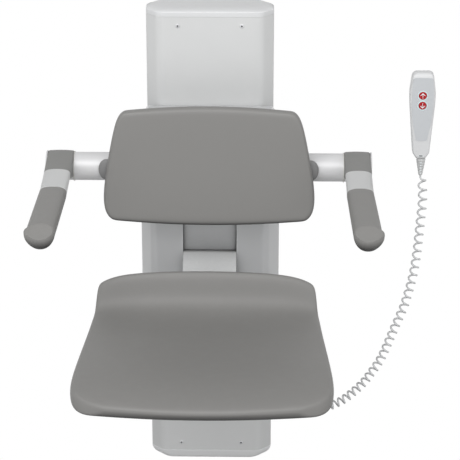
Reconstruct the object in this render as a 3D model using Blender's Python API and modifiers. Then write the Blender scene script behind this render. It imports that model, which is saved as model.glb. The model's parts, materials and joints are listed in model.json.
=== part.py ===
"""Height adjustable shower seat for a wall, with a wired hand control.

Units are metres and +Z is up. The wall is the plane y = 0 and the user sits towards -Y,
so a depth in this file is a distance from the wall, and y is minus the depth.
The origin lies on the wall, midway across the column and level with the crossbar.
"""

import math

import bmesh
import bpy
import numpy as np
from mathutils import Matrix, Vector

# Clearances
GAP = 0.0003
RUNNING_GAP = 0.0015

# Roundings that many pieces share
FINE_ROUNDING = 0.001
EDGE_ROUNDING = 0.0015
BLOCK_ROUNDING = 0.002
CASTING_ROUNDING = 0.003

# Wall rail, an aluminium channel that the column hangs on
COLUMN_TOP = 0.290
COLUMN_HEIGHT = 0.998
RAIL_WIDTH = 0.196
RAIL_DEPTH = 0.027
RAIL_WALL = 0.005
RAIL_RISE = 0.008
WALL_HOLE_DIAMETER = 0.009
WALL_HOLE_SPACING = 0.080
WALL_HOLE_INSET = 0.110

# Column cover, a pressed shell that is open towards the wall, and its caps
COVER_WIDTH = 0.250
COVER_REAR = 0.040
COVER_FRONT = 0.112
COVER_WALL = 0.0025
FRONT_CHAMFER = 0.024
REAR_CHAMFER = 0.026
FRONT_RADIUS = 0.014
SIDE_RADIUS = 0.008
TOP_CAP_HEIGHT = 0.014
BOTTOM_CAP_HEIGHT = 0.025
CAP_ROUNDING = 0.005

# Brackets at the column's ends, and the screws that hold the cover to them
BRACKET_SHEET = 0.003
BRACKET_WIDTH = 0.180
BRACKET_HEIGHT = 0.036
COVER_SCREW_SPACING = 0.125
COVER_SCREW_INSET = 0.018
SCREW_HEAD_DIAMETER = 0.008
SCREW_SHANK_DIAMETER = 0.004
SCREW_LENGTH = 0.012

# Guide rails, and the shoes that run on them
GUIDE_SPACING = 0.140
GUIDE_WIDTH = 0.014
GUIDE_HEIGHT = 0.016
GUIDE_END_SPACE = 0.006
SHOE_WIDTH = 0.030
SHOE_LENGTH = 0.040
SHOE_ROOF = 0.009
SHOE_LIP = 0.013
SHOE_INSET = 0.008

# Carriage plates, which pass round the cover
PLATE = 0.005
CARRIAGE_TOP = 0.038
CARRIAGE_BOTTOM = -0.187
CARRIAGE_CLEARANCE = 0.0035
FRONT_PLATE_OVERHANG = 0.0015
FRONT_PLATE_TOP = 0.062
FRONT_PLATE_BOTTOM = -0.318
FRONT_PLATE_SPACE = 0.0065

# Carriage housing, the moulded cover on the front of the carriage
HOUSING_TOP = 0.092
HOUSING_BOTTOM = -0.330
SKIRT_WALL = 0.0042
HOUSING_TAPER = 0.020
HOUSING_DEPTH = 0.052
HOUSING_SHOULDER = 0.009
HOUSING_SLOPE = 0.033
HOUSING_RADIUS = 0.012
HOUSING_SHOULDER_RADIUS = 0.004
HOUSING_WALL = 0.003
HOUSING_ROUNDING = 0.004
HOUSING_CORNER_WIDTH = 0.015
HOUSING_CORNER_HEIGHT = 0.022
BOSS_DIAMETER = 0.012
BOSS_SPACING = 0.196
BOSS_INSET = 0.014
CHANNEL_WIDTH = 0.107
CHANNEL_DEPTH = 0.008
PANEL_THICKNESS = 0.002

# Lift actuator
ACTUATOR_DEPTH = 0.072
ACTUATOR_TUBE_DIAMETER = 0.040
ACTUATOR_TUBE_LENGTH = 0.425
ACTUATOR_TUBE_FLOOR = 0.010
ACTUATOR_FOOT_HEIGHT = 0.034
ACTUATOR_FOOT_DEPTH = 0.048
ROD_DIAMETER = 0.020
ROD_CLEARANCE = 0.0005
ROD_LENGTH = 0.440
ROD_BLOCK_WIDTH = 0.044
ROD_BLOCK_HEIGHT = 0.040
ROD_BLOCK_CROWN = 0.006
ROD_BLOCK_WALL = 0.014
ROD_BLOCK_INSET = 0.008
MOTOR_DIAMETER = 0.044
MOTOR_LENGTH = 0.085
MOTOR_SPACING = 0.052
CONTROL_BOX_WIDTH = 0.060
CONTROL_BOX_DEPTH = 0.044
CONTROL_BOX_HEIGHT = 0.110
CONTROL_BOX_SPACING = 0.066

# Crossbar and its clamps
CROSSBAR_DEPTH = 0.204
CROSSBAR_DIAMETER = 0.055
CROSSBAR_WALL = 0.0025
CLAMP_SPACING = 0.160
CLAMP_WIDTH = 0.040
CLAMP_LIP = 0.0075
END_CAP_THICKNESS = 0.0045
END_CAP_SPIGOT = 0.012

# Backrest and its carrier
BACKREST_TOP = 0.147
BACKREST_BOTTOM = -0.098
BACKREST_THICKNESS = 0.022
BACKREST_CROWN = 0.0035
BACKREST_HALF_WIDTHS = (
    (-0.098, 0.1854), (-0.084, 0.2024), (-0.040, 0.2064), (0.025, 0.1969), (0.085, 0.1864),
    (0.134, 0.1759), (0.147, 0.1614))
BACKREST_STATIONS_ACROSS = (-1.0, -0.94, -0.6, -0.2, 0.2, 0.6, 0.94, 1.0)
BACKREST_BOW = 0.010
CARRIER_LENGTH = 0.424
CARRIER_HEIGHT = 0.039
CARRIER_THICKNESS = 0.016
CARRIER_RISE = 0.008
CARRIER_LIP = 0.004
CARRIER_STANDOFF = 0.0085

# Armrests
ARM_SPACING = 0.576
HUB_WIDTH = 0.051
HUB_RADIUS = 0.0325
HUB_LENGTH = 0.087
HUB_DROP = 0.011
BUSH_WALL = 0.0012
BUSH_FLANGE = 0.002
BEAM_WIDTH = 0.049
BEAM_HEIGHT = 0.0405
BEAM_TOP = 0.031
BEAM_LENGTH = 0.085
BEAM_ROUNDING = 0.006
TENON_WIDTH = 0.028
TENON_HEIGHT = 0.018
TENON_LENGTH = 0.160
GRIP_LENGTH = 0.224
GRIP_HEIGHT = 0.0455
GRIP_TOP = 0.034
GRIP_STATIONS = 6
GRIP_STATIONS_ACROSS = (-1.0, -0.62, 0.62, 1.0)
GRIP_LEVELS = (0.0, 0.55, 1.0)
GRIP_FULLNESS = (0.70, 1.0, 0.94)
GRIP_TIP_RISE = (0.006, 0.0, -0.008)
GRIP_TIP_SETBACK = (0.014, 0.0, 0.030)
GRIP_TIP_BOW = 0.012
GRIP_SPLAY = 0.008
GRIP_HALF_WIDTHS = ((0.0, 0.0250), (0.45, 0.0258), (0.85, 0.0275), (1.0, 0.0270))

# Seat, its frame and the hinge that it folds on
HINGE_DEPTH = 0.268
HINGE_HEIGHT = -0.232
HINGE_PIN_DIAMETER = 0.012
HINGE_PIN_OVERHANG = 0.004
LUG_RADIUS = 0.013
LUG_THICKNESS = 0.012
LUG_RIB = 0.006
LUG_LENGTH = 0.077
SEAT_DROP = 0.048
SEAT_FRAME_SHEET = 0.006
SEAT_FRAME_WIDTH = 0.280
SEAT_FRAME_LENGTH = 0.370
SEAT_FRAME_SETBACK = 0.022
BRACKET_ARM_TOP = -0.199
BRACKET_ARM_BOTTOM = -0.318
BRACKET_ARM_WALL = 0.009
BRACKET_LEDGE = 0.003
BRACKET_LEDGE_FALL = 0.002
BRACKET_WALL_STEP = 0.008
BRACKET_SLOPE = 0.035
BRACKET_NECK = 0.003
NOSE_LENGTH = 0.077
NOSE_HEIGHT = 0.012
NOSE_CHAMFER = 0.006
NOSE_RUN = 0.020

# Centre line of the seat above and below, from rear to front, and its half widths, as places
# (depth, height) or (depth, half width) measured from the hinge
SEAT_ABOVE = (
    (0.0205, 0.0370), (0.0290, 0.0555), (0.0430, 0.0500), (0.0500, 0.0060), (0.0760, -0.0130),
    (0.1250, -0.0195), (0.2520, -0.0155), (0.3620, -0.0100), (0.4220, -0.0135), (0.4580, -0.0200),
    (0.4700, -0.0255))
SEAT_BELOW = (
    (0.0220, 0.0240), (0.0250, 0.0080), (0.0340, -0.0120), (0.0540, -0.0340), (0.0940, -0.0470),
    (0.1470, -SEAT_DROP), (0.2520, -SEAT_DROP), (0.3620, -SEAT_DROP), (0.4220, -SEAT_DROP),
    (0.4500, -SEAT_DROP), (0.4640, -0.0410))
SEAT_HALF_WIDTHS = (
    (0.0205, 0.2040), (0.0300, 0.2120), (0.0620, 0.2195), (0.1060, 0.2230), (0.1470, 0.2245),
    (0.2030, 0.2300), (0.3050, 0.2395), (0.3820, 0.2435), (0.4220, 0.2385), (0.4510, 0.2160),
    (0.4685, 0.1740))
SEAT_STATIONS_ACROSS = (-1.0, -0.955, -0.80, -0.45, 0.0, 0.45, 0.80, 0.955, 1.0)
SEAT_FRONT_BOW = 0.020
SEAT_EDGE_ROLL = 0.006
SEAT_LIP_FALL = 0.011
SEAT_LIP_CORNER = 0.026
SEAT_LIP_LENGTH = 0.085

# Hand control, hung on a hook on the wall
HANDSET_X = 0.423
HANDSET_REAR = 0.041
HANDSET_THICKNESS = 0.0275
HANDSET_BACK_THICKNESS = 0.011
HANDSET_WALL = 0.0022
HANDSET_EDGE = 0.002
HANDSET_CORNERS = (
    (0.0092, -0.0370, 0.0045), (0.0170, -0.0240, 0.006), (0.0257, 0.0850, 0.030),
    (0.0257, 0.1050, 0.030), (0.0215, 0.1420, 0.010), (0.0150, 0.1490, 0.008))
PANEL_CORNERS = (
    (0.0106, 0.0030, 0.004), (0.0192, 0.0480, 0.060), (0.0215, 0.0800, 0.060), (0.0214, 0.1080, 0.060),
    (0.0196, 0.1365, 0.005))
PANEL_SHEET = 0.0008
HANDSET_LEAST_RADIUS = 0.0005
BUTTON_DIAMETER = 0.016
BUTTON_CLEARANCE = 0.0004
BUTTON_HEIGHTS = (0.0995, 0.0785)
BUTTON_PROUD = 0.0012
BUTTON_ROUNDING = 0.0005
BUTTON_TRAVEL = 0.0010
BUTTON_FLANGE = 0.0009
BUTTON_FLANGE_SHEET = 0.0016
BUTTON_STEM_DIAMETER = 0.005
BOARD_WIDTH = 0.024
BOARD_LENGTH = 0.064
BOARD_SHEET = 0.0016
BOARD_DEPTH = 0.0540
BOARD_POST = 0.008
HOLDER_BASE = 0.005
HOLDER_WIDTH = 0.036
HOLDER_HEIGHT = 0.070
HOLDER_POST_WIDTH = 0.022
HOLDER_POST_HEIGHT = 0.030
HOLDER_CENTRE = 0.085
HOLDER_HOLE_DIAMETER = 0.005
HOLDER_HOLE_SPACING = 0.054

# Strain relief, curly cord and gland
RELIEF_LENGTH = 0.039
RELIEF_TOP_DIAMETER = 0.0175
RELIEF_LOW_DIAMETER = 0.0085
RELIEF_RIBS = 5
RELIEF_GROOVE = 0.0010
RELIEF_RIB_SHARE = 0.62
RELIEF_FLANK_SHARE = 0.04
WIRE_DIAMETER = 0.004
CURL_DIAMETER = 0.0195
CURL_START = 0.5
CURL_PITCH_TOP = 0.0206
CURL_PITCH_LOW = 0.0118
POINTS_PER_CURL = 8
LEAST_CORD_GAP = 0.0004
GLAND_DEPTH = 0.077
GLAND_RISE = 0.094
GLAND_LENGTH = 0.030
GLAND_FLANGE_DIAMETER = 0.016
GLAND_FLANGE_SHEET = 0.003
GLAND_NECK_DIAMETER = 0.0125
GLAND_TIP_DIAMETER = 0.008
GLAND_SPIGOT_DIAMETER = 0.009
GLAND_SPIGOT_LENGTH = 0.008

# Points of the cord's middle line, as shares of the way across, forward and down from the strain
# relief to the gland
CORD_ROUTE = (
    (-0.0150, 0.0000, 0.0291), (-0.0235, 0.0112, 0.1065), (-0.0150, 0.0112, 0.1783),
    (-0.0056, 0.0112, 0.2501), (0.0037, 0.0112, 0.3200), (0.0187, 0.0112, 0.3899),
    (0.0430, 0.0112, 0.4598), (0.0860, 0.0562, 0.5485), (0.1159, 0.1011, 0.5920),
    (0.1608, 0.1910, 0.6505), (0.2543, 0.3258, 0.7752), (0.3366, 0.4607, 0.8451),
    (0.4114, 0.5506, 0.8961), (0.5385, 0.6854, 0.9547), (0.6470, 0.7978, 0.9830),
    (0.7405, 0.8876, 0.9962), (0.8527, 0.9551, 1.0038), (0.9387, 1.0000, 1.0000))

# Places that follow from the sizes above
SIDES = (("left", -1), ("right", 1))
COLUMN_BOTTOM = COLUMN_TOP - COLUMN_HEIGHT
GLAND_HEIGHT = COLUMN_BOTTOM + GLAND_RISE
COVER_TOP = COLUMN_TOP - TOP_CAP_HEIGHT - GAP
COVER_BOTTOM = COLUMN_BOTTOM + BOTTOM_CAP_HEIGHT + GAP
GUIDE_REAR = RAIL_WALL + GAP
GUIDE_FRONT = GUIDE_REAR + GUIDE_HEIGHT
SHOE_FRONT = GUIDE_FRONT + GAP + SHOE_ROOF
CARRIAGE_REAR = SHOE_FRONT + GAP
CARRIAGE_HALF = COVER_WIDTH / 2 + CARRIAGE_CLEARANCE
FRONT_PLATE_WIDTH = 2 * (CARRIAGE_HALF + FRONT_PLATE_OVERHANG)
FRONT_PLATE_REAR = COVER_FRONT + FRONT_PLATE_SPACE
FRONT_PLATE_FRONT = FRONT_PLATE_REAR + PLATE
HOUSING_WIDTH = 2 * (CARRIAGE_HALF + PLATE + GAP + SKIRT_WALL)
HOUSING_FACE_WIDTH = HOUSING_WIDTH - 2 * HOUSING_TAPER
HOUSING_REAR = COVER_FRONT + RUNNING_GAP
HOUSING_FRONT = HOUSING_REAR + HOUSING_DEPTH
CROSSBAR_RADIUS = CROSSBAR_DIAMETER / 2
ARM_X = ARM_SPACING / 2
CROSSBAR_END = ARM_X + HUB_WIDTH / 2
CARRIER_DEPTH = CROSSBAR_DEPTH + CROSSBAR_RADIUS + CARRIER_STANDOFF
BACKREST_REAR = CARRIER_DEPTH + CARRIER_THICKNESS / 2 + GAP
HUB_FRONT = CROSSBAR_DEPTH + HUB_LENGTH
BEAM_REAR = HUB_FRONT + GAP
BEAM_FRONT = BEAM_REAR + BEAM_LENGTH
GRIP_REAR = BEAM_FRONT + GAP
BRACKET_PLATE_TOP = COVER_TOP - GAP
BRACKET_PLATE_BOTTOM = COVER_BOTTOM + GAP
ACTUATOR_FOOT_BOTTOM = BRACKET_PLATE_BOTTOM + BRACKET_SHEET + GAP
ACTUATOR_TUBE_BOTTOM = ACTUATOR_FOOT_BOTTOM + ACTUATOR_FOOT_HEIGHT + GAP
ACTUATOR_TUBE_TOP = ACTUATOR_TUBE_BOTTOM + ACTUATOR_TUBE_LENGTH
ROD_BLOCK_TOP = CARRIAGE_TOP - ROD_BLOCK_INSET
ROD_TOP = ROD_BLOCK_TOP - ROD_BLOCK_CROWN
BRACKET_ARM_WIDTH = CHANNEL_WIDTH - 2 * GAP
SEAT_UNDERSIDE = HINGE_HEIGHT - SEAT_DROP
FRAME_TOP = SEAT_UNDERSIDE - GAP
FRAME_BOTTOM = FRAME_TOP - SEAT_FRAME_SHEET
NOSE_TOP = FRAME_BOTTOM - GAP
HANDSET_FRONT = HANDSET_REAR + HANDSET_THICKNESS
HANDSET_SPLIT = HANDSET_REAR + HANDSET_BACK_THICKNESS
PANEL_REAR = HANDSET_FRONT + GAP
PANEL_FRONT = PANEL_REAR + PANEL_SHEET
CORD_DEPTH = HANDSET_REAR + HANDSET_THICKNESS / 2
RELIEF_TOP = HANDSET_CORNERS[0][1] - GAP
RELIEF_BOTTOM = RELIEF_TOP - RELIEF_LENGTH
CORD_TOP = RELIEF_BOTTOM - GAP
GLAND_TIP = COVER_WIDTH / 2 + GAP + GLAND_LENGTH
CORD_END = GLAND_TIP + GAP
COVER_SCREWS = tuple(
    (sign * COVER_SCREW_SPACING / 2, height)
    for height in (COVER_TOP - COVER_SCREW_INSET, COVER_BOTTOM + COVER_SCREW_INSET)
    for sign in (-1.0, 1.0))

# Directions, and how an outline's two coordinates lie: from above (x, y), from the front (x, z),
# or from the side (depth, z)
AXIS_X = (1.0, 0.0, 0.0)
AXIS_FRONT = (0.0, -1.0, 0.0)
AXIS_Z = (0.0, 0.0, 1.0)
FROM_ABOVE = Matrix.Identity(4)
FROM_FRONT = Matrix(((1, 0, 0, 0), (0, 0, -1, 0), (0, 1, 0, 0), (0, 0, 0, 1)))
FROM_SIDE = Matrix(((0, 0, -1, 0), (-1, 0, 0, 0), (0, 1, 0, 0), (0, 0, 0, 1)))


def clear_scene():
    """Remove what the file opens with."""
    for item in list(bpy.data.objects):
        bpy.data.objects.remove(item, do_unlink=True)


def new_collection(name):
    """Make a collection under the scene."""
    made = bpy.data.collections.new(name)
    bpy.context.scene.collection.children.link(made)
    return made


clear_scene()
PARTS = new_collection("height_adjustable_shower_seat")
CUTTERS = new_collection("cutters")


def finish(name, colour, roughness, metallic=0.0):
    """One Principled material with the given colour."""
    made = bpy.data.materials.new(name)
    made.use_nodes = True
    shader = made.node_tree.nodes["Principled BSDF"]
    shader.inputs["Base Color"].default_value = (*colour, 1.0)
    shader.inputs["Roughness"].default_value = roughness
    shader.inputs["Metallic"].default_value = metallic
    made.diffuse_color = (*colour, 1.0)
    return made


def body_empty(name, place):
    """Empty that carries the pieces of one moving body, placed on its joint."""
    made = bpy.data.objects.new(name, None)
    made.empty_display_size = 0.05
    made.location = place
    PARTS.objects.link(made)
    return made


def add_part(name, mesh, material, group, place=(0.0, 0.0, 0.0)):
    """Put a mesh in the model as a named sub-part of a body, with its own material."""
    made = bpy.data.objects.new(name, mesh)
    made.location = place
    mesh.materials.clear()
    mesh.materials.append(material)
    PARTS.objects.link(made)
    made.parent = group
    made.matrix_parent_inverse = Matrix.Translation(group.location).inverted()
    return made


def add_cutter(name, mesh, place=(0.0, 0.0, 0.0)):
    """Put a mesh among the cutters, out of the model."""
    made = bpy.data.objects.new(name, mesh)
    made.location = place
    made.hide_render = True
    made.display_type = "WIRE"
    CUTTERS.objects.link(made)
    return made


def combine(target, other, operation):
    """Cut a sub-part by another shape, or join the shape to it, with a Boolean."""
    step = target.modifiers.new(other.name, "BOOLEAN")
    step.operation = operation
    step.solver = "EXACT"
    step.object = other


def bevel(target, width, segments=2, angle=40.0):
    """Round the edges that turn by more than the angle."""
    step = target.modifiers.new("rounded_edges", "BEVEL")
    step.width = width
    step.segments = segments
    step.limit_method = "ANGLE"
    step.angle_limit = math.radians(angle)


def smooth(mesh, angle=35.0):
    """Shade a round mesh smooth, with its corners kept sharp."""
    mesh.shade_smooth()
    mesh.set_sharp_from_angle(angle=math.radians(angle))


def to_mesh(name, work):
    """Turn a bmesh into a mesh with its faces pointing out."""
    bmesh.ops.recalc_face_normals(work, faces=work.faces)
    mesh = bpy.data.meshes.new(name)
    work.to_mesh(mesh)
    work.free()
    return mesh


def block_mesh(name, size):
    """Box of the given size about its own middle."""
    work = bmesh.new()
    bmesh.ops.create_cube(work, size=1.0)
    bmesh.ops.scale(work, vec=size, verts=work.verts)
    return to_mesh(name, work)


def block(name, x_span, depth_span, z_span, material, group, rounding=0.0):
    """Box sub-part between an x, a depth and a z span."""
    spans = (x_span, depth_span, z_span)
    mesh = block_mesh(name, [high - low for low, high in spans])
    made = add_part(name, mesh, material, group, middle(*spans))
    if rounding:
        bevel(made, rounding)
    return made


def block_cutter(name, x_span, depth_span, z_span):
    """Box cutter between an x, a depth and a z span."""
    spans = (x_span, depth_span, z_span)
    mesh = block_mesh(name, [high - low for low, high in spans])
    return add_cutter(name, mesh, middle(*spans))


def middle(x_span, depth_span, z_span):
    """Centre of an x, depth and z span, as a place in the model."""
    return (sum(x_span) / 2, -sum(depth_span) / 2, sum(z_span) / 2)


def around(centre, width):
    """Span of a width about a centre."""
    return (centre - width / 2, centre + width / 2)


def rod_mesh(name, radius, length, axis, sides=24):
    """Cylinder about its own middle, along an axis."""
    work = bmesh.new()
    turn = Vector(AXIS_Z).rotation_difference(Vector(axis)).to_matrix()
    bmesh.ops.create_cone(
        work, cap_ends=True, segments=sides, radius1=radius, radius2=radius,
        depth=length, matrix=turn.to_4x4())
    mesh = to_mesh(name, work)
    smooth(mesh)
    return mesh


def hole(target, radius, length, axis, place, sides=24):
    """Cut a round hole, centred on a place, through a sub-part."""
    name = target.name + "_hole"
    combine(target, add_cutter(name, rod_mesh(name, radius, length, axis, sides), place), "DIFFERENCE")


def outline_mesh(name, outline, thickness, view):
    """Flat outline made into a plate of the given thickness, about the middle of it."""
    curve = bpy.data.curves.new(name, "CURVE")
    curve.dimensions = "2D"
    curve.fill_mode = "BOTH"
    curve.extrude = thickness / 2
    spline = curve.splines.new("POLY")
    spline.points.add(len(outline) - 1)
    for point, (across, up) in zip(spline.points, outline):
        point.co = (across, up, 0.0, 1.0)
    spline.use_cyclic_u = True
    guide = bpy.data.objects.new(name + "_outline", curve)
    CUTTERS.objects.link(guide)
    evaluated = guide.evaluated_get(bpy.context.evaluated_depsgraph_get())
    flat = bpy.data.meshes.new_from_object(evaluated)
    bpy.data.objects.remove(guide, do_unlink=True)
    work = bmesh.new()
    work.from_mesh(flat)
    bpy.data.meshes.remove(flat)
    bmesh.ops.remove_doubles(work, verts=work.verts, dist=0.000001)
    bmesh.ops.transform(work, matrix=view, verts=work.verts)
    return to_mesh(name, work)


def plate_place(view, span):
    """Middle of a plate that fills a span along the third direction of its view."""
    mid = sum(span) / 2
    if view is FROM_ABOVE:
        return (0.0, 0.0, mid)
    if view is FROM_FRONT:
        return (0.0, -mid, 0.0)
    return (mid, 0.0, 0.0)


def plate(name, outline, span, view, material, group, rounding=0.0):
    """Sub-part made from a flat outline and a span across it."""
    mesh = outline_mesh(name, outline, span[1] - span[0], view)
    made = add_part(name, mesh, material, group, plate_place(view, span))
    if rounding:
        bevel(made, rounding)
    return made


def plate_cutter(name, outline, span, view):
    """Cutter made from a flat outline and a span across it."""
    mesh = outline_mesh(name, outline, span[1] - span[0], view)
    return add_cutter(name, mesh, plate_place(view, span))


def turn_profile(made, profile, axis, steps):
    """Give an object a turned shape: (radius, height) points, down its outer side, about an axis."""
    work = bmesh.new()
    points = [work.verts.new((radius, 0.0, height)) for radius, height in profile]
    for first, second in zip(points, points[1:]):
        work.edges.new((first, second))
    if profile[0][0] > 0.0:
        work.edges.new((points[-1], points[0]))
    work.to_mesh(made.data)
    work.free()
    made.rotation_mode = "QUATERNION"
    made.rotation_quaternion = Vector(AXIS_Z).rotation_difference(Vector(axis))
    step = made.modifiers.new("turn", "SCREW")
    step.steps = steps
    step.render_steps = steps
    step.use_merge_vertices = True
    step.merge_threshold = 0.00001
    step.use_smooth_shade = True


def turned(name, profile, axis, place, material, group, steps=32):
    """Turned sub-part, whose profile starts on the axis or is a closed ring."""
    made = add_part(name, bpy.data.meshes.new(name), material, group, place)
    turn_profile(made, profile, axis, steps)
    return made


def turned_cutter(name, profile, axis, place, steps=32):
    """Turned cutter."""
    made = add_cutter(name, bpy.data.meshes.new(name), place)
    turn_profile(made, profile, axis, steps)
    return made


def arc(centre, radius, start, stop, steps):
    """Points on an arc between two angles in degrees."""
    points = []
    for index in range(steps + 1):
        angle = math.radians(start + (stop - start) * index / steps)
        points.append((centre[0] + radius * math.cos(angle), centre[1] + radius * math.sin(angle)))
    return points


def rounded(corners, steps=3):
    """Closed outline through (x, y, radius) corners, each rounded with its own radius."""
    outline = []
    count = len(corners)
    for index, (across, up, radius) in enumerate(corners):
        here = Vector((across, up))
        if radius <= 0.0:
            outline.append((across, up))
            continue
        before = (Vector(corners[index - 1][:2]) - here).normalized()
        after = (Vector(corners[(index + 1) % count][:2]) - here).normalized()
        half = before.angle(after) / 2
        centre = here + (before + after).normalized() * radius / math.sin(half)
        first = here + before * radius / math.tan(half) - centre
        second = here + after * radius / math.tan(half) - centre
        start = math.degrees(math.atan2(first.y, first.x))
        stop = math.degrees(math.atan2(second.y, second.x))
        sweep = (stop - start + 180.0) % 360.0 - 180.0
        outline += arc(centre, radius, start, start + sweep, steps)
    return outline


def both_sides(right):
    """Closed outline from its right half, given from one end of the middle line to the other."""
    return list(right) + [(-across, up) for across, up in reversed(right)]


def cage(name, counts, shape):
    """Grid of faces over a box, whose points go where shape(i, j, k) puts them."""
    work = bmesh.new()
    bmesh.ops.create_cube(work, size=2.0)
    for axis, count in enumerate(counts):
        along = []
        for edge in work.edges:
            step = edge.verts[1].co - edge.verts[0].co
            if abs(step[axis]) > 0.5 * step.length:
                along.append(edge)
        if count > 1:
            bmesh.ops.subdivide_edges(work, edges=along, cuts=count - 1, use_grid_fill=True)
    for point in work.verts:
        steps = [round((point.co[axis] + 1.0) / 2.0 * counts[axis]) for axis in range(3)]
        point.co = shape(*steps)
    mesh = to_mesh(name, work)
    mesh.shade_smooth()
    return mesh


def subdivide(target, levels=1):
    """Soften a cage with a Subdivision Surface."""
    step = target.modifiers.new("soft_form", "SUBSURF")
    step.levels = levels
    step.render_levels = levels


def between(points, place):
    """Value at a place along a list of (place, value) points, joined by straight lines."""
    return float(np.interp(place, [point[0] for point in points], [point[1] for point in points]))


def column_outline():
    """Right half of the column's section from above, from its rear edge to its front."""
    half = COVER_WIDTH / 2
    corners = [
        (half - REAR_CHAMFER, -COVER_REAR, 0.0),
        (half, -COVER_REAR - REAR_CHAMFER, 0.0),
        (half, -COVER_FRONT + FRONT_CHAMFER, SIDE_RADIUS),
        (half - FRONT_CHAMFER, -COVER_FRONT, FRONT_RADIUS),
        (0.0, -COVER_FRONT, 0.0),
    ]
    return rounded(corners)[:-1]


def make_wall_rail(group, metal):
    """Channel that is bolted to the wall through the holes in its web."""
    half = RAIL_WIDTH / 2
    inner = half - RAIL_WALL
    right = [(half, 0.0), (half, -RAIL_DEPTH), (inner, -RAIL_DEPTH), (inner, -RAIL_WALL)]
    span = (COLUMN_BOTTOM, COLUMN_TOP + RAIL_RISE)
    rail = plate("wall_rail", both_sides(right), span, FROM_ABOVE, metal, group)
    for x in around(0.0, WALL_HOLE_SPACING):
        for z in (COLUMN_BOTTOM + WALL_HOLE_INSET, COLUMN_TOP - WALL_HOLE_INSET):
            hole(rail, WALL_HOLE_DIAMETER / 2, 4 * RAIL_WALL, AXIS_FRONT, (x, -RAIL_WALL / 2, z), 12)


def make_guides(group, steel):
    """Two bars on the rail's web, on which the carriage runs."""
    low = BRACKET_PLATE_BOTTOM + BRACKET_HEIGHT + GUIDE_END_SPACE
    high = BRACKET_PLATE_TOP - BRACKET_HEIGHT - GUIDE_END_SPACE
    for side, sign in SIDES:
        across = around(sign * GUIDE_SPACING / 2, GUIDE_WIDTH)
        block("guide_rail_" + side, across, (GUIDE_REAR, GUIDE_FRONT), (low, high), steel, group,
              EDGE_ROUNDING)


def make_column_cover(group, white):
    """Shell of one thickness, open to the wall, with holes for its screws and the cord's gland."""
    work = bmesh.new()
    points = [work.verts.new((x, y, COVER_BOTTOM)) for x, y in both_sides(column_outline())]
    edges = [work.edges.new(pair) for pair in zip(points, points[1:])]
    raised = bmesh.ops.extrude_edge_only(work, edges=edges)["geom"]
    lifted = [item for item in raised if isinstance(item, bmesh.types.BMVert)]
    bmesh.ops.translate(work, vec=(0.0, 0.0, COVER_TOP - COVER_BOTTOM), verts=lifted)
    mesh = bpy.data.meshes.new("column_cover")
    work.to_mesh(mesh)
    work.free()
    cover = add_part("column_cover", mesh, white, group)
    shell = cover.modifiers.new("sheet", "SOLIDIFY")
    shell.thickness = COVER_WALL
    shell.offset = -1.0
    shell.use_even_offset = True
    for x, z in COVER_SCREWS:
        cutter = turned_cutter("screw_hole", screw_profile(GAP), AXIS_FRONT, (x, -COVER_FRONT, z), 16)
        combine(cover, cutter, "DIFFERENCE")
    place = (COVER_WIDTH / 2, -GLAND_DEPTH, GLAND_HEIGHT)
    hole(cover, GLAND_SPIGOT_DIAMETER / 2 + GAP, 8 * COVER_WALL, AXIS_X, place, 20)


def screw_profile(allowance):
    """Profile of a countersunk screw with its head flush at height 0, or of its larger hole."""
    head = SCREW_HEAD_DIAMETER / 2 + allowance
    shank = SCREW_SHANK_DIAMETER / 2 + allowance
    top = 4 * allowance
    cone = (SCREW_HEAD_DIAMETER - SCREW_SHANK_DIAMETER) / 2
    return [(0.0, top), (head, top), (head, 0.0), (shank, -cone), (shank, -SCREW_LENGTH),
            (0.0, -SCREW_LENGTH)]


def make_caps(group, white):
    """Cap on each end of the column, with rounded edges."""
    section = both_sides(column_outline())
    top = (COLUMN_TOP - TOP_CAP_HEIGHT, COLUMN_TOP)
    plate("top_cap", section, top, FROM_ABOVE, white, group, CAP_ROUNDING)
    bottom = (COLUMN_BOTTOM, COLUMN_BOTTOM + BOTTOM_CAP_HEIGHT)
    plate("bottom_cap", section, bottom, FROM_ABOVE, white, group, CAP_ROUNDING)


def make_end_bracket(name, end, inward, group, steel):
    """Sheet bent to a U that joins the rail to the cover; its flanges reach inward from the end."""
    rear = RAIL_WALL + GAP
    front = COVER_FRONT - COVER_WALL - GAP
    flange = end + inward * BRACKET_HEIGHT
    sheet = end + inward * BRACKET_SHEET
    outline = [
        (rear, end), (front, end), (front, flange), (front - BRACKET_SHEET, flange),
        (front - BRACKET_SHEET, sheet), (rear + BRACKET_SHEET, sheet), (rear + BRACKET_SHEET, flange),
        (rear, flange)]
    bracket = plate(name, outline, around(0.0, BRACKET_WIDTH), FROM_SIDE, steel, group)
    for x, z in COVER_SCREWS:
        if abs(z - end) < BRACKET_HEIGHT:
            place = (x, -front + BRACKET_SHEET / 2, z)
            hole(bracket, SCREW_SHANK_DIAMETER / 2 + GAP, 4 * BRACKET_SHEET, AXIS_FRONT, place, 16)


def make_cover_screws(group, steel):
    """Four countersunk screws through the cover into the end brackets."""
    for number, (x, z) in enumerate(COVER_SCREWS, 1):
        name = "cover_screw_%d" % number
        turned(name, screw_profile(0.0), AXIS_FRONT, (x, -COVER_FRONT, z), steel, group, 16)


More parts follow.
